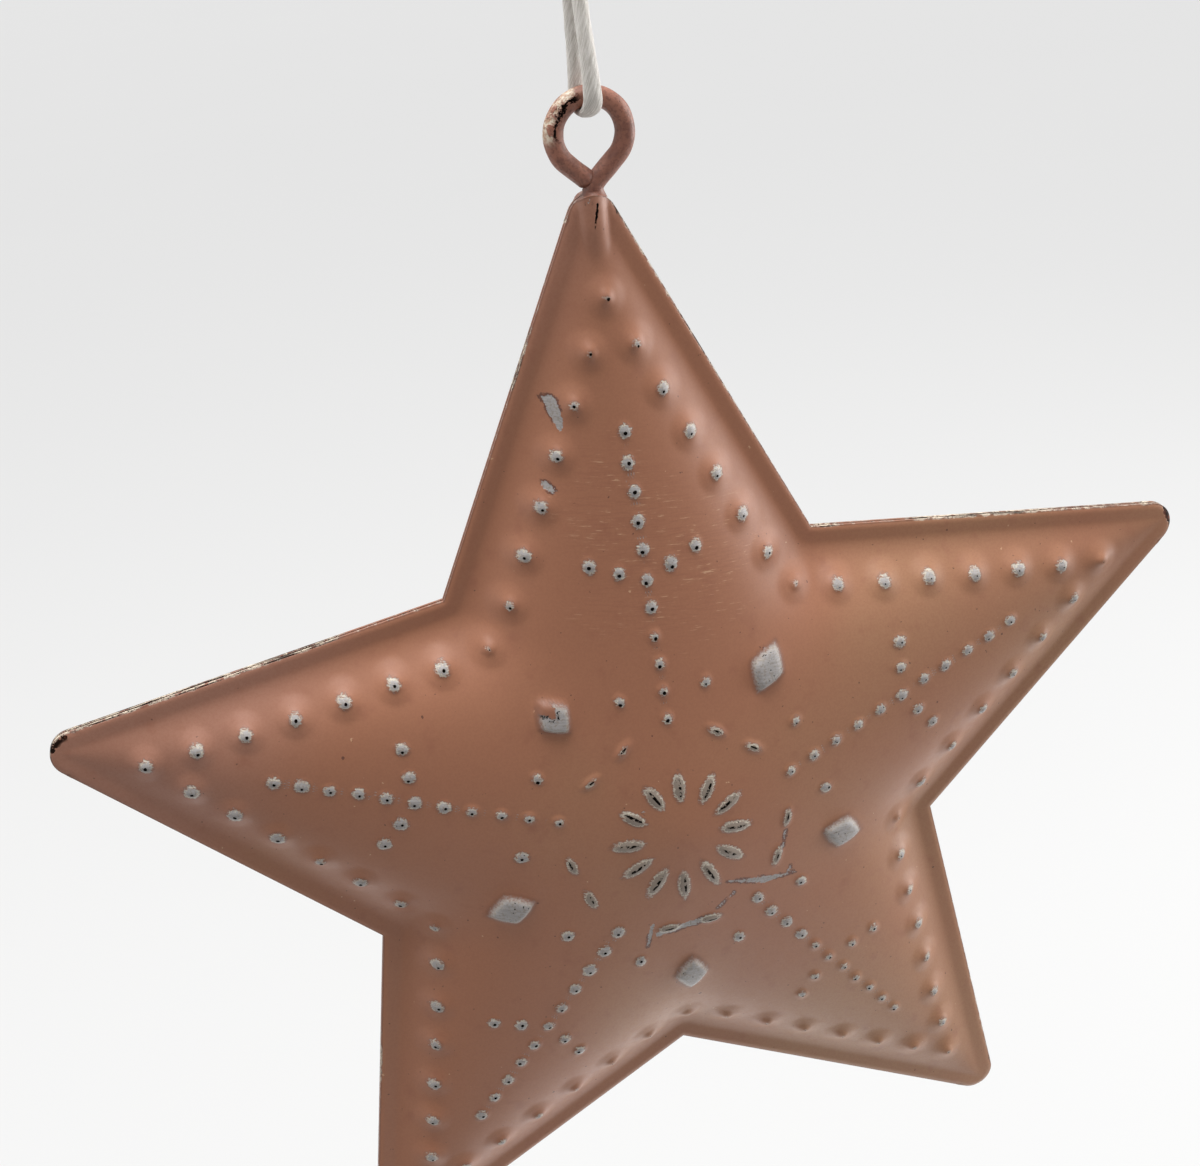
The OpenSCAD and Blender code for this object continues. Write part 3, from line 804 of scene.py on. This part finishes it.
HAND_RING_R, HAND_ANGLE = 2.8, np.radians(47)
side_at, side_way, hand_neck_z = eye_bend(HAND_RING_R, HAND_ANGLE)
cut_l = (side_at[0] - WIRE_R * 0.35) / side_way[0]
cut_end = [cut_l * side_way[0] - side_at[0], 0, side_at[1] - cut_l * side_way[1]]
eye_line = np.vstack([
    [cut_end],
    arc((0, 0), HAND_RING_R, np.pi + HAND_ANGLE, -np.pi - 2 * HAND_ANGLE, 90),
    arc((bend_r, hand_neck_z), bend_r, np.pi - HAND_ANGLE, HAND_ANGLE, 16),
    [[0, 0, neck_z - NECK_L - WIRE_TAIL]]])
eye_line, _ = resample(eye_line, 0.15)
eye_line[:, 2] += ring_z + RING_R - HAND_RING_R
eye_line[:, 0] += eye_lean(eye_line[:, 2])


def wire_radius(a, s):
    """The wire's radius, a little rounded off at both cut ends, with slow lumps in the paint."""
    lumps = 0.008 * np.sin(3 * a + 1.9 * s) + 0.007 * np.sin(2.7 * s + 1)
    lumps = lumps + 0.005 * np.sin(5 * a - 4.3 * s)
    end = np.minimum(s, s.max() - s)
    return (WIRE_R - 0.012 + lumps) * (1 - 0.22 * np.exp(-(end / 0.16) ** 2))


points, faces, along, around = sweep(eye_line, np.array([0.0, 1.0, 0.0]), wire_radius, 48)
eye = make_piece("eye_wire", points, faces, "star", 50, {"along": along, "around": around})
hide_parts("hanging_eye")

# %% [markdown]
# Solder ran round the neck and set as a small flared collar, which was painted over with the eye. It
# is a profile turned round the wire: the radius falls with height as a fillet does.

# %% The collar of solder
COLLAR_H, COLLAR_FLARE, COLLAR_FOOT = 0.32, 0.3, 0.15


def collar(columns=96, rows=20):
    """radius = wire + COLLAR_FLARE (1 - h)^2.2, where h is the share of the height, with slow ripples.
    The foot follows the round of the tip, and both ends turn in under the wire's skin."""
    a = np.linspace(0, 2 * np.pi, columns, endpoint=False)
    h = np.r_[0, np.linspace(0, 1, rows), 1]
    A, H = np.meshgrid(a, h)
    R = WIRE_R + 0.01 + COLLAR_FLARE * (1 - H) ** 2.2 + 0.02 * np.sin(3 * A + 5 * H)
    R[[0, -1]] = WIRE_R - 0.1
    x, y = R * np.cos(A), R * np.sin(A)
    sink = TIP_ROUND - np.sqrt(TIP_ROUND ** 2 - np.minimum(np.abs(x), 1.9) ** 2)
    z = apex_z - TIP_SHORT[0] + COLLAR_H * H - (COLLAR_FOOT + sink) * (1 - H)
    points = np.stack([x + eye_lean(z), y, z], -1).reshape(-1, 3)
    faces = grid_faces(rows + 2, columns)
    first, c = (rows + 1) * columns, np.arange(columns)
    n = (c + 1) % columns
    faces += np.stack([first + c, first + n, n, c], 1).tolist()
    return points, faces


points, faces = collar()
solder_collar = make_piece("solder_collar", points, faces, "star", 60)
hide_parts("neck_solder")

# %% [markdown]
# ## The finishes
# The paint is salmon over a pale grey primer over dark steel. Where it has worn through, the primer
# shows, and where that has gone too, the dark metal. So the finish is layers of colour with a mask
# for each, and the masks are worked out on the surface itself: from the marks' own offsets, from the
# distance to the edge, and from noise in the object's own coordinates.

# %% A short way to write node trees
class Tree:
    """Makes the nodes of one material and joins them: a socket, a number or a colour goes in."""

    def __init__(self, name):
        self.material = bpy.data.materials.new(name)
        self.material.use_nodes = True
        self.nodes = self.material.node_tree.nodes
        self.shader = self.nodes["Principled BSDF"]

    def put(self, socket, value):
        """Joins another node's output to this input, or writes a plain value into it."""
        if isinstance(value, bpy.types.NodeSocket):
            self.material.node_tree.links.new(value, socket)
        else:
            socket.default_value = value

    def add(self, kind, *inputs, out=0, **settings):
        """A new node with these settings, its inputs filled in order; gives one of its outputs."""
        node = self.nodes.new("ShaderNode" + kind)
        for key, value in settings.items():
            setattr(node, key, value)
        for socket, value in zip([s for s in node.inputs if s.enabled], inputs):
            if value is not None:
                self.put(socket, value)
        return node.outputs[out]

    def math(self, operation, *inputs):
        return self.add("Math", *inputs, operation=operation)

    def plus(self, a, b):
        return self.math("ADD", a, b)

    def minus(self, a, b):
        return self.math("SUBTRACT", a, b)

    def times(self, a, b):
        return self.math("MULTIPLY", a, b)

    def scaled(self, value, by, more):
        """value * by + more."""
        return self.math("MULTIPLY_ADD", value, by, more)

    def shaken(self, value, noise, amount):
        """value + amount * (noise - 0.5), which makes a mask's rim ragged."""
        return self.scaled(self.minus(noise, 0.5), amount, value)

    def length(self, a, b, power):
        """(|a|^power + |b|^power)^(1 / power): its rim is round for 2, a soft diamond for 1.25."""
        a, b = (self.math("POWER", self.math("ABSOLUTE", v), power) for v in (a, b))
        return self.math("POWER", self.plus(a, b), 1 / power)

    def step(self, value, low, high, bottom=0.0, top=1.0):
        """0 below low, 1 above high, smooth between."""
        return self.add("MapRange", value, low, high, bottom, top, interpolation_type="SMOOTHSTEP")

    def here(self):
        """Each point's place, in the object's own coordinates, in metres."""
        return self.add("TexCoord", out=3)

    def noise(self, where, scale, detail=3.0, rough=0.5):
        """Soft noise between 0 and 1, with scale lumps in a metre."""
        node = self.nodes.new("ShaderNodeTexNoise")
        self.put(node.inputs["Vector"], where)
        for key, value in (("Scale", scale), ("Detail", detail), ("Roughness", rough)):
            node.inputs[key].default_value = value
        return node.outputs["Fac"]

    def mix(self, share, a, b):
        """Colour a where the share is 0, and colour b where it is 1."""
        node = self.nodes.new("ShaderNodeMix")
        node.data_type = "RGBA"
        for i, value in ((0, share), (6, a), (7, b)):
            self.put(node.inputs[i], value)
        return node.outputs[2]

    def split(self, vector):
        """The three numbers of a vector."""
        node = self.nodes.new("ShaderNodeSeparateXYZ")
        self.put(node.inputs[0], vector)
        return node.outputs

    def carried(self, name):
        """The number that the mesh carries under this name."""
        return self.add("Attribute", attribute_name=name, out=2)

    def carried_three(self, name):
        """The three numbers that the mesh carries under this name."""
        return self.split(self.add("Attribute", attribute_name=name, out=1))

    def any(self, *masks):
        """The greatest of several masks."""
        out = masks[0]
        for mask in masks[1:]:
            out = self.math("MAXIMUM", out, mask)
        return out

    def all(self, *masks):
        """Several masks multiplied."""
        out = masks[0]
        for mask in masks[1:]:
            out = self.times(out, mask)
        return out

    def finish(self, colour, roughness, height=None, strength=0.5, distance=0.0001, **sockets):
        """Fills the shader, with a bump of this strength where there is a height; gives the material."""
        self.put(self.shader.inputs["Base Color"], colour)
        self.put(self.shader.inputs["Roughness"], roughness)
        for key, value in sockets.items():
            self.put(self.shader.inputs[key.replace("_", " ")], value)
        if height is not None:
            bump = self.nodes.new("ShaderNodeBump")
            bump.inputs["Strength"].default_value = strength
            bump.inputs["Distance"].default_value = distance
            self.put(bump.inputs["Height"], height)
            self.put(self.shader.inputs["Normal"], bump.outputs["Normal"])
        return self.material


def srgb(red, green, blue):
    """A colour as it looks on a screen, 0 to 255, turned into the light values that shaders use."""
    c = np.array([red, green, blue]) / 255
    c = np.where(c > 0.04045, ((c + 0.055) / 1.055) ** 2.4, c / 12.92)
    return (*[float(v) for v in c], 1.0)


SALMON, SALMON_OLIVE, SALMON_DEEP = srgb(143, 95, 70), srgb(148, 109, 80), srgb(127, 79, 59)
PRIMER, PRIMER_PALE, PRIMER_DIRTY = srgb(134, 130, 129), srgb(148, 144, 142), srgb(122, 110, 99)
PRIMER_RIM, CREAM, SCRATCH = srgb(184, 176, 160), srgb(188, 175, 156), srgb(182, 146, 116)
# SALMON_SHEEN is the paler, greyer salmon of a painted sheen that stands for reflected light.
SALMON_SHEEN, UNDERCOAT = srgb(145, 102, 84), srgb(70, 38, 30)
# RUST_AND_SHADE is the red brown of rust on bare metal, and also of the painted shade round the marks
# and of the dark line along the outline.
BLACK, STEEL, RUST_AND_SHADE = srgb(14, 9, 7), srgb(30, 20, 16), srgb(84, 50, 40)
EYE_SALMON, EYE_BROWN = srgb(140, 92, 74), srgb(120, 76, 60)
EYE_DARK, EYE_DEEP = srgb(98, 58, 46), srgb(84, 48, 38)
EYE_CREAM, EYE_TAN = srgb(190, 178, 160), srgb(156, 124, 102)
print("colours ready; salmon in light values:", np.round(SALMON[:3], 3))

# %% [markdown]
# The star's paint reads noises from coarse to tiny, one more that is drawn out into streaks, and the
# values that the mesh carries. Each step below adds what it worked out to the same set of values.

# %% What the star's paint reads
class Values:
    """A set of named values, which grows from step to step."""


def paint_inputs(t):
    """The noises, and the offsets, distances and strengths from the mesh."""
    v = Values()
    v.here = t.here()
    v.x, _, v.z = t.split(v.here)
    v.coarse, v.middle = t.noise(v.here, 45, 2), t.noise(v.here, 500, 4, 0.55)
    v.small, v.tiny = t.noise(v.here, 1800, 3, 0.6), t.noise(v.here, 5000, 3, 0.65)
    drawn_out = t.add("Mapping", v.here, None, (0, np.radians(8), 0), (0.0015, 0.0015, 0.000125),
        vector_type="TEXTURE")
    v.streaks = t.noise(drawn_out, 1.0, 3, 0.6)
    v.along, v.across, v.kind = t.carried_three("mark_at")
    v.near, v.worn, v.chance = t.carried_three("mark_is")
    v.pit_along, v.pit_across, v.pit_near = t.carried_three("pit_at")
    v.rubbed, v.scuffed, v.steel_bare = t.carried_three("wear")
    v.chip, v.crack = t.carried("chip"), t.carried("crack")
    v.kept, v.edge = t.carried("kept"), t.carried("edge")
    return v


# %% [markdown]
# On a mark, the paint is gone where the limit that its wear sets lies farther out than the point. The
# noise added to the distance makes the rim ragged, less so on a diamond's flat top. In the middle of
# most marks a small pit has gone down to the black metal.

# %% Masks on the marks
def mark_masks(t, v):
    """depth = limit - (distance + noise): the paint is off where it is over 0, the pit is a smaller
    oval of the same noise, and the rim is the ring just outside, which is darkened as painted shade."""
    v.diamond = t.math("MAXIMUM", v.kind, 0.0)
    v.petal = t.math("MAXIMUM", t.times(v.kind, -1.0), 0.0)
    round_r = t.length(v.along, v.across, 2.0)
    diamond_r = t.length(v.along, v.across, DIAMOND_POWER)
    r = t.add("Mix", v.diamond, round_r, diamond_r, data_type="FLOAT")
    calm = t.scaled(v.diamond, -0.68, t.scaled(v.petal, -0.2, 1.0))
    noise_sum = t.shaken(t.shaken(0.0, v.tiny, 1.15), v.small, 0.55)
    limit = t.shaken(t.scaled(v.worn, 1.05, -0.07), v.chance, 0.12)
    v.depth = t.minus(limit, t.scaled(noise_sum, calm, r))
    fuzzy = t.shaken(v.depth, v.streaks, t.scaled(v.diamond, -0.62, 0.7))
    kept = t.shaken(t.shaken(v.kept, v.small, 0.5), v.tiny, 0.5)
    v.bare = t.all(v.near, t.step(fuzzy, -0.17, 0.2), t.step(v.worn, -0.2, 0.6),
        t.step(kept, -0.04, 0.04))
    v.gaps = t.all(v.bare, v.diamond, t.step(kept, 0.34, 0.24), t.step(v.small, 0.44, 0.52))
    # rim: a ring just outside each bare spot, where the paint is darkened as painted shade round the
    # mark.
    v.rim = t.all(v.near, t.step(v.depth, -0.40, -0.05), t.step(v.worn, 0.0, 0.8))
    pit_r = t.plus(noise_sum, t.length(v.pit_along, v.pit_across, 2.0))
    broken = t.any(t.minus(1.0, v.petal), t.step(v.small, 0.42, 0.48))
    v.pit = t.all(v.pit_near, t.step(pit_r, 1.15, 0.95), t.step(v.worn, 0.0, 0.12), broken)
    v.pinholes = t.all(v.bare, t.step(t.noise(v.here, 3300, 2), 0.69, 0.72))


# %% [markdown]
# Between the marks the paint has chipped, cracked at the tip, rubbed through along some edges and
# scuffed in fine lines. A rubbed edge shows thin dark lines along the sheet's side.

# %% Masks between the marks
def wear_masks(t, v):
    """Each is a distance or a strength from the mesh, shaken by noise and cut at a threshold."""
    chip = t.shaken(t.shaken(v.chip, v.small, 0.5), v.tiny, 0.34)
    v.chipped = t.step(chip, 0.02, -0.04)
    v.chip_rim = t.all(t.step(chip, 0.20, 0.08), t.step(v.middle, 0.45, 0.52))
    v.cracked = t.step(t.shaken(v.crack, v.tiny, 0.22), 0.03, -0.02)
    rub = t.shaken(t.shaken(t.scaled(v.rubbed, 0.14, -0.04), v.small, 0.4), v.tiny, 0.25)
    v.edge_bare = t.all(t.step(t.minus(rub, v.edge), -0.05, 0.08), t.step(v.small, 0.36, 0.5))
    v.steel = t.all(t.step(t.shaken(v.steel_bare, v.small, 1.6), 0.5, 0.6), t.step(v.edge, 0.75, 0.35))
    # rim_line: a thin band along the whole outline, where the paint is darkened all round.
    v.rim_line = t.step(t.shaken(v.edge, v.small, 0.12), 0.15, 0.06)
    thin = t.add("Mapping", v.here, None, None, (300, 6500, 300), vector_type="POINT")
    v.layers = t.step(t.noise(thin, 1.0, 4, 0.6), 0.50, 0.56)
    v.scuffs = t.all(v.scuffed, t.step(v.streaks, 0.60, 0.68), t.step(v.middle, 0.46, 0.58))
    v.grain = t.all(v.scuffed, t.step(v.streaks, 0.50, 0.38))
    v.specks = t.any(t.step(t.noise(v.here, 1150, 2, 0.6), 0.765, 0.785),
        t.step(t.noise(v.here, 2700, 1), 0.78, 0.80))
    v.flecks = t.step(t.noise(v.here, 1500, 2, 0.6), 0.235, 0.215)


# %% [markdown]
# The sound paint turns from salmon towards olive from the upper left to the lower right. At the
# upper left a paler, greyer salmon is painted on, a painted sheen that stands for reflected light
# there. On top come a deeper mottle, a ring of painted shade round the bare spots, a thin dark line
# along the outline, dark specks, pale flecks.

# %% The colours of the paint and the primer
def salmon_colour(t, v):
    """Layers mixed one over the other, each with its mask and its strength."""
    lean = t.plus(t.scaled(v.x, 9.0, t.times(v.z, -6.0)), -0.45)
    lean = t.plus(lean, t.scaled(v.coarse, 1.6, -0.3))
    # painted_sheen: grows towards the upper left, where a paler salmon is painted as a sheen of
    # reflected light.
    painted_sheen = t.plus(t.scaled(v.z, 30.0, t.times(v.x, -35.0)), -30 * star_z * MM)
    # rims: the ring of painted shade round each bare spot, and the thin dark line along the outline.
    rims = t.any(t.all(v.rim, 0.7), t.all(v.rim_line, 0.8))
    body = t.mix(t.step(lean, 0.3, 1.1), SALMON, SALMON_OLIVE)
    for mask, strength, colour in (
            (t.step(painted_sheen, 1.25, 1.75), 0.9, SALMON_SHEEN),
            (t.step(v.middle, 0.55, 0.8), 0.5, SALMON_DEEP), (rims, 0.6, RUST_AND_SHADE),
            (v.chip_rim, 0.85, UNDERCOAT), (v.specks, 0.85, UNDERCOAT), (v.grain, 0.35, SALMON_DEEP),
            (t.step(v.tiny, 0.42, 0.6), 0.22, SALMON_DEEP), (v.flecks, 0.75, SCRATCH),
            (v.scuffs, 0.75, SCRATCH)):
        body = t.mix(t.all(mask, strength), body, colour)
    return body


def primer_colour(t, v):
    """Grey in pale streaks, dirty in the petals, with a pale ring inside each bare spot, and cream
    along the edges."""
    grey = t.mix(t.step(v.streaks, 0.35, 0.65), PRIMER, PRIMER_PALE)
    grey = t.mix(t.all(t.step(v.tiny, 0.50, 0.62), 0.65), grey, PRIMER_DIRTY)
    grey = t.mix(t.all(v.petal, t.step(v.depth, 0.08, 0.24)), grey, PRIMER_DIRTY)
    ring = t.all(t.step(v.depth, 0.26, 0.1), t.scaled(v.diamond, -0.7, 1.0), v.bare)
    return t.mix(v.edge_bare, t.mix(ring, grey, PRIMER_RIM), CREAM)


# %% [markdown]
# The finish puts the layers together. The primer lies a paint's thickness below the salmon, and the
# bump shows that step, which is what makes a bare spot look chipped rather than printed.

# %% The star's worn paint
def star_paint():
    """Paint over primer over steel: each mask uncovers the layer below, and height = paint - pits."""
    t = Tree("salmon_paint")
    v = paint_inputs(t)
    mark_masks(t, v)
    wear_masks(t, v)
    primer = t.any(v.bare, v.chipped, t.all(v.edge_bare, 0.85))
    black = t.any(v.pit, v.cracked, v.gaps, t.all(v.pinholes, 0.8))
    metal = t.any(v.steel, t.all(v.edge_bare, t.step(v.tiny, 0.56, 0.62)),
        t.all(v.rim_line, v.rubbed, v.layers, 0.9))
    body = t.mix(primer, salmon_colour(t, v), primer_colour(t, v))
    body = t.mix(metal, body, t.mix(t.step(v.small, 0.5, 0.7), STEEL, RUST_AND_SHADE))
    body = t.mix(black, body, BLACK)
    rough = t.scaled(black, 0.4, t.scaled(v.small, 0.2, 0.40))
    coat = t.minus(1.0, t.any(primer, metal))
    skin = t.scaled(t.all(v.tiny, coat), 0.15, t.times(v.middle, 0.5))
    height = t.minus(t.plus(coat, skin), t.any(v.pit, v.cracked, v.pinholes))
    return t.finish(body, rough, height, 0.6, 0.00006, Specular_IOR_Level=0.4,
        Metallic=t.any(black, metal))


paint = star_paint()


def dress(piece, material):
    """The piece wears this material all over."""
    piece.data.materials.clear()
    piece.data.materials.append(material)


dress(front, paint)
dress(back_half, paint)
print("the star's paint has", len(paint.node_tree.nodes), "nodes")

# %% [markdown]
# The eye wears the same paint, thinner and more chipped, and its upper left has flaked down to the
# primer and the black wire. The collar is painted over.

# %% The eye's paint
def eye_paint():
    """Brown salmon paint, with a ragged black crack along the ring's upper left and cream beside it."""
    t = Tree("eye_paint")
    where = t.here()
    coarse, middle = t.noise(where, 260, 3), t.noise(where, 800, 4, 0.6)
    small, tiny = t.noise(where, 1900, 3, 0.6), t.noise(where, 4200, 3, 0.6)
    x, y, z = t.split(where)
    across = t.minus(x, float(eye_lean(ring_z)) * MM)
    over = t.minus(z, ring_z * MM)
    reach = t.math("SQRT", t.plus(t.times(across, across), t.times(over, over)))
    outward = t.scaled(reach, 1 / (WIRE_R * MM), -RING_R / WIRE_R)
    outward = t.shaken(t.shaken(outward, small, 1.6), tiny, 1.0)
    angle = t.math("ARCTAN2", over, t.times(across, -1.0))
    upper_left = t.all(t.step(angle, -0.25, 0.1), t.step(angle, 1.5, 1.2), t.step(y, 0.0004, 0.0001))
    line = t.step(t.math("ABSOLUTE", t.minus(outward, 0.12)), 0.22, 0.12)
    crack = t.all(upper_left, line, t.step(coarse, 0.34, 0.44))
    cream = t.all(upper_left, t.step(outward, 0.3, 0.5), t.step(middle, 0.44, 0.54))
    flakes = t.all(t.step(over, 0.0002, 0.0016), t.step(middle, 0.62, 0.66), t.step(tiny, 0.40, 0.50))
    primer = t.any(cream, flakes)
    black = t.any(crack, t.all(t.step(small, 0.70, 0.75), 0.8), t.all(flakes, t.step(tiny, 0.5, 0.56)))
    body = t.mix(t.step(coarse, 0.35, 0.65), EYE_SALMON, EYE_BROWN)
    body = t.mix(t.all(t.step(middle, 0.46, 0.66), 0.7), body, EYE_DARK)
    body = t.mix(t.all(t.step(tiny, 0.50, 0.60), 0.5), body, EYE_DEEP)
    body = t.mix(primer, body, t.mix(t.step(tiny, 0.4, 0.6), EYE_CREAM, EYE_TAN))
    body = t.mix(black, body, BLACK)
    coat = t.minus(1.0, t.any(primer, black))
    height = t.plus(t.times(coat, 0.8), t.scaled(small, 0.3, t.times(middle, 0.6)))
    return t.finish(body, t.scaled(tiny, 0.2, 0.38), height, 0.8, 0.00012, Specular_IOR_Level=0.4,
        Metallic=black)


wire_paint = eye_paint()
dress(eye, wire_paint)
dress(solder_collar, wire_paint)

# %% [markdown]
# The solder between the flanges is dull and dark, with a little grain.

# %% The solder
def solder_finish():
    """Two greys mixed by one noise, which also roughens it and raises its bumps."""
    t = Tree("solder")
    grain = t.noise(t.here(), 1500, 3, 0.6)
    colour = t.mix(t.step(grain, 0.3, 0.7), srgb(70, 60, 54), srgb(120, 108, 98))
    return t.finish(colour, t.scaled(grain, 0.3, 0.4), grain, 0.4, 0.00005, Metallic=0.6)


dress(seam_film, solder_finish())

# %% [markdown]
# The cotton's fibres run along the cord and lean with its twist. The pattern follows two values that
# the sweep hung on every point: how far along the cord it is, and at what angle round it.

# %% The cotton
def cotton():
    """Noise on a tube that is unrolled, leaned by its twist and stretched along the cord."""
    t = Tree("cord_cotton")
    along = t.carried("along")
    lean = t.scaled(along, -0.7, t.carried("around"))
    strands = t.add("CombineXYZ", t.math("SINE", lean), t.math("COSINE", lean), t.times(along, 0.12))
    fibre = t.noise(strands, 7, 4, 0.6)
    fine = t.noise(t.here(), 5200, 3, 0.6)
    colour = t.mix(t.step(fibre, 0.3, 0.7), srgb(176, 170, 162), srgb(216, 212, 206))
    colour = t.mix(t.all(t.step(fine, 0.55, 0.75), 0.4), colour, srgb(168, 160, 149))
    height = t.scaled(fine, 0.4, fibre)
    return t.finish(colour, 0.85, height, 0.6, 0.00012, Sheen_Weight=0.25, Sheen_Roughness=0.5)


cotton_finish = cotton()
dress(cord, cotton_finish)
dress(knot, cotton_finish)
print("the cotton has", len(cotton_finish.node_tree.nodes), "nodes")

# %% [markdown]
# ## The room
# The ornament hangs over a wide pale floor, in soft light from a white room: large lamps stand to
# its sides, above and below, and little light comes from the camera's own side, so the slopes are
# brighter than the faces that look straight at the camera, as in the photograph.

# %% The floor
FLOOR_Z, FLOOR_GLOW = -0.26, 0.67
SKY_LIGHT, SKY_SEEN = 0.5, 0.80


def seen(tree):
    """1 for a ray from the camera or from a reflection, 0 for the light that falls on the star."""
    ray = tree.nodes.new("ShaderNodeLightPath")
    either = tree.nodes.new("ShaderNodeMath")
    either.operation = "MAXIMUM"
    for i, kind in enumerate(("Is Camera Ray", "Is Glossy Ray")):
        tree.links.new(ray.outputs[kind], either.inputs[i])
    return either.outputs[0]


def floor_finish():
    """Grey that lights the star little, with a glow that only the camera and reflections see."""
    t = Tree("floor")
    grain = t.noise(t.here(), 3, 2)
    colour = t.mix(grain, srgb(96, 96, 96), srgb(102, 102, 101))
    glow = t.times(seen(t.material.node_tree), FLOOR_GLOW)
    return t.finish(colour, 0.9, Emission_Color=(1, 1, 1, 1), Emission_Strength=glow)


bpy.ops.mesh.primitive_grid_add(x_subdivisions=2, y_subdivisions=2, size=16, location=(0, 4, FLOOR_Z))
floor = bpy.context.object
floor.name = "floor"
dress(floor, floor_finish())

# %% [markdown]
# The room's walls are the world itself. It gives the star a soft light of one strength, and looks
# brighter to the camera and in reflections.

# %% The world
world = bpy.data.worlds.new("room")
bpy.context.scene.world = world
world.use_nodes = True
sky = world.node_tree.nodes["Background"]
sky.inputs["Color"].default_value = (1, 1, 1, 1)
strength = world.node_tree.nodes.new("ShaderNodeMix")
strength.inputs[2].default_value = SKY_LIGHT
strength.inputs[3].default_value = SKY_SEEN
world.node_tree.links.new(seen(world.node_tree), strength.inputs[0])
world.node_tree.links.new(strength.outputs[0], sky.inputs["Strength"])
print("sky strength", SKY_LIGHT, "on the star and", SKY_SEEN, "to the camera")

# %% [markdown]
# Five large soft lamps stand round the star. Their powers were fitted to the brightness of the faces
# in the photograph, which look in many directions.

# %% The lamps
STAR = np.array([0, 0, star_z]) * MM


def soft_lamp(name, offset, size, power):
    """A large square lamp at an offset from the star's centre, in metres, that faces the star."""
    lamp = bpy.data.objects.new(name, bpy.data.lights.new(name, "AREA"))
    lamp.data.shape = "SQUARE"
    lamp.data.size = size
    lamp.data.energy = power
    back = unit(np.array(offset, float))
    side = unit(np.cross([0.02, 0.99, 0.1], back))
    m = np.eye(4)
    m[:3, 0], m[:3, 1], m[:3, 2], m[:3, 3] = side, np.cross(back, side), back, STAR + offset
    lamp.matrix_world = Matrix(m.tolist())
    lamp.visible_camera = False
    bpy.context.scene.collection.objects.link(lamp)


soft_lamp("right_window", (0.55, 0.03, 0.045), 0.5, 4.5)
soft_lamp("left_wall", (-0.55, 0.05, 0.01), 0.5, 1.0)
soft_lamp("ceiling", (-0.03, 0.03, 0.55), 0.5, 6.8)
soft_lamp("floor_bounce", (0.02, 0.03, -0.165), 0.3, 0.46)
soft_lamp("low_fill", (-0.02, -0.17, -0.2), 0.2, 0.13)
print(len(bpy.data.lights), "lamps")

bpy.context.scene.view_settings.view_transform = "Standard"

# %% One last import
import json
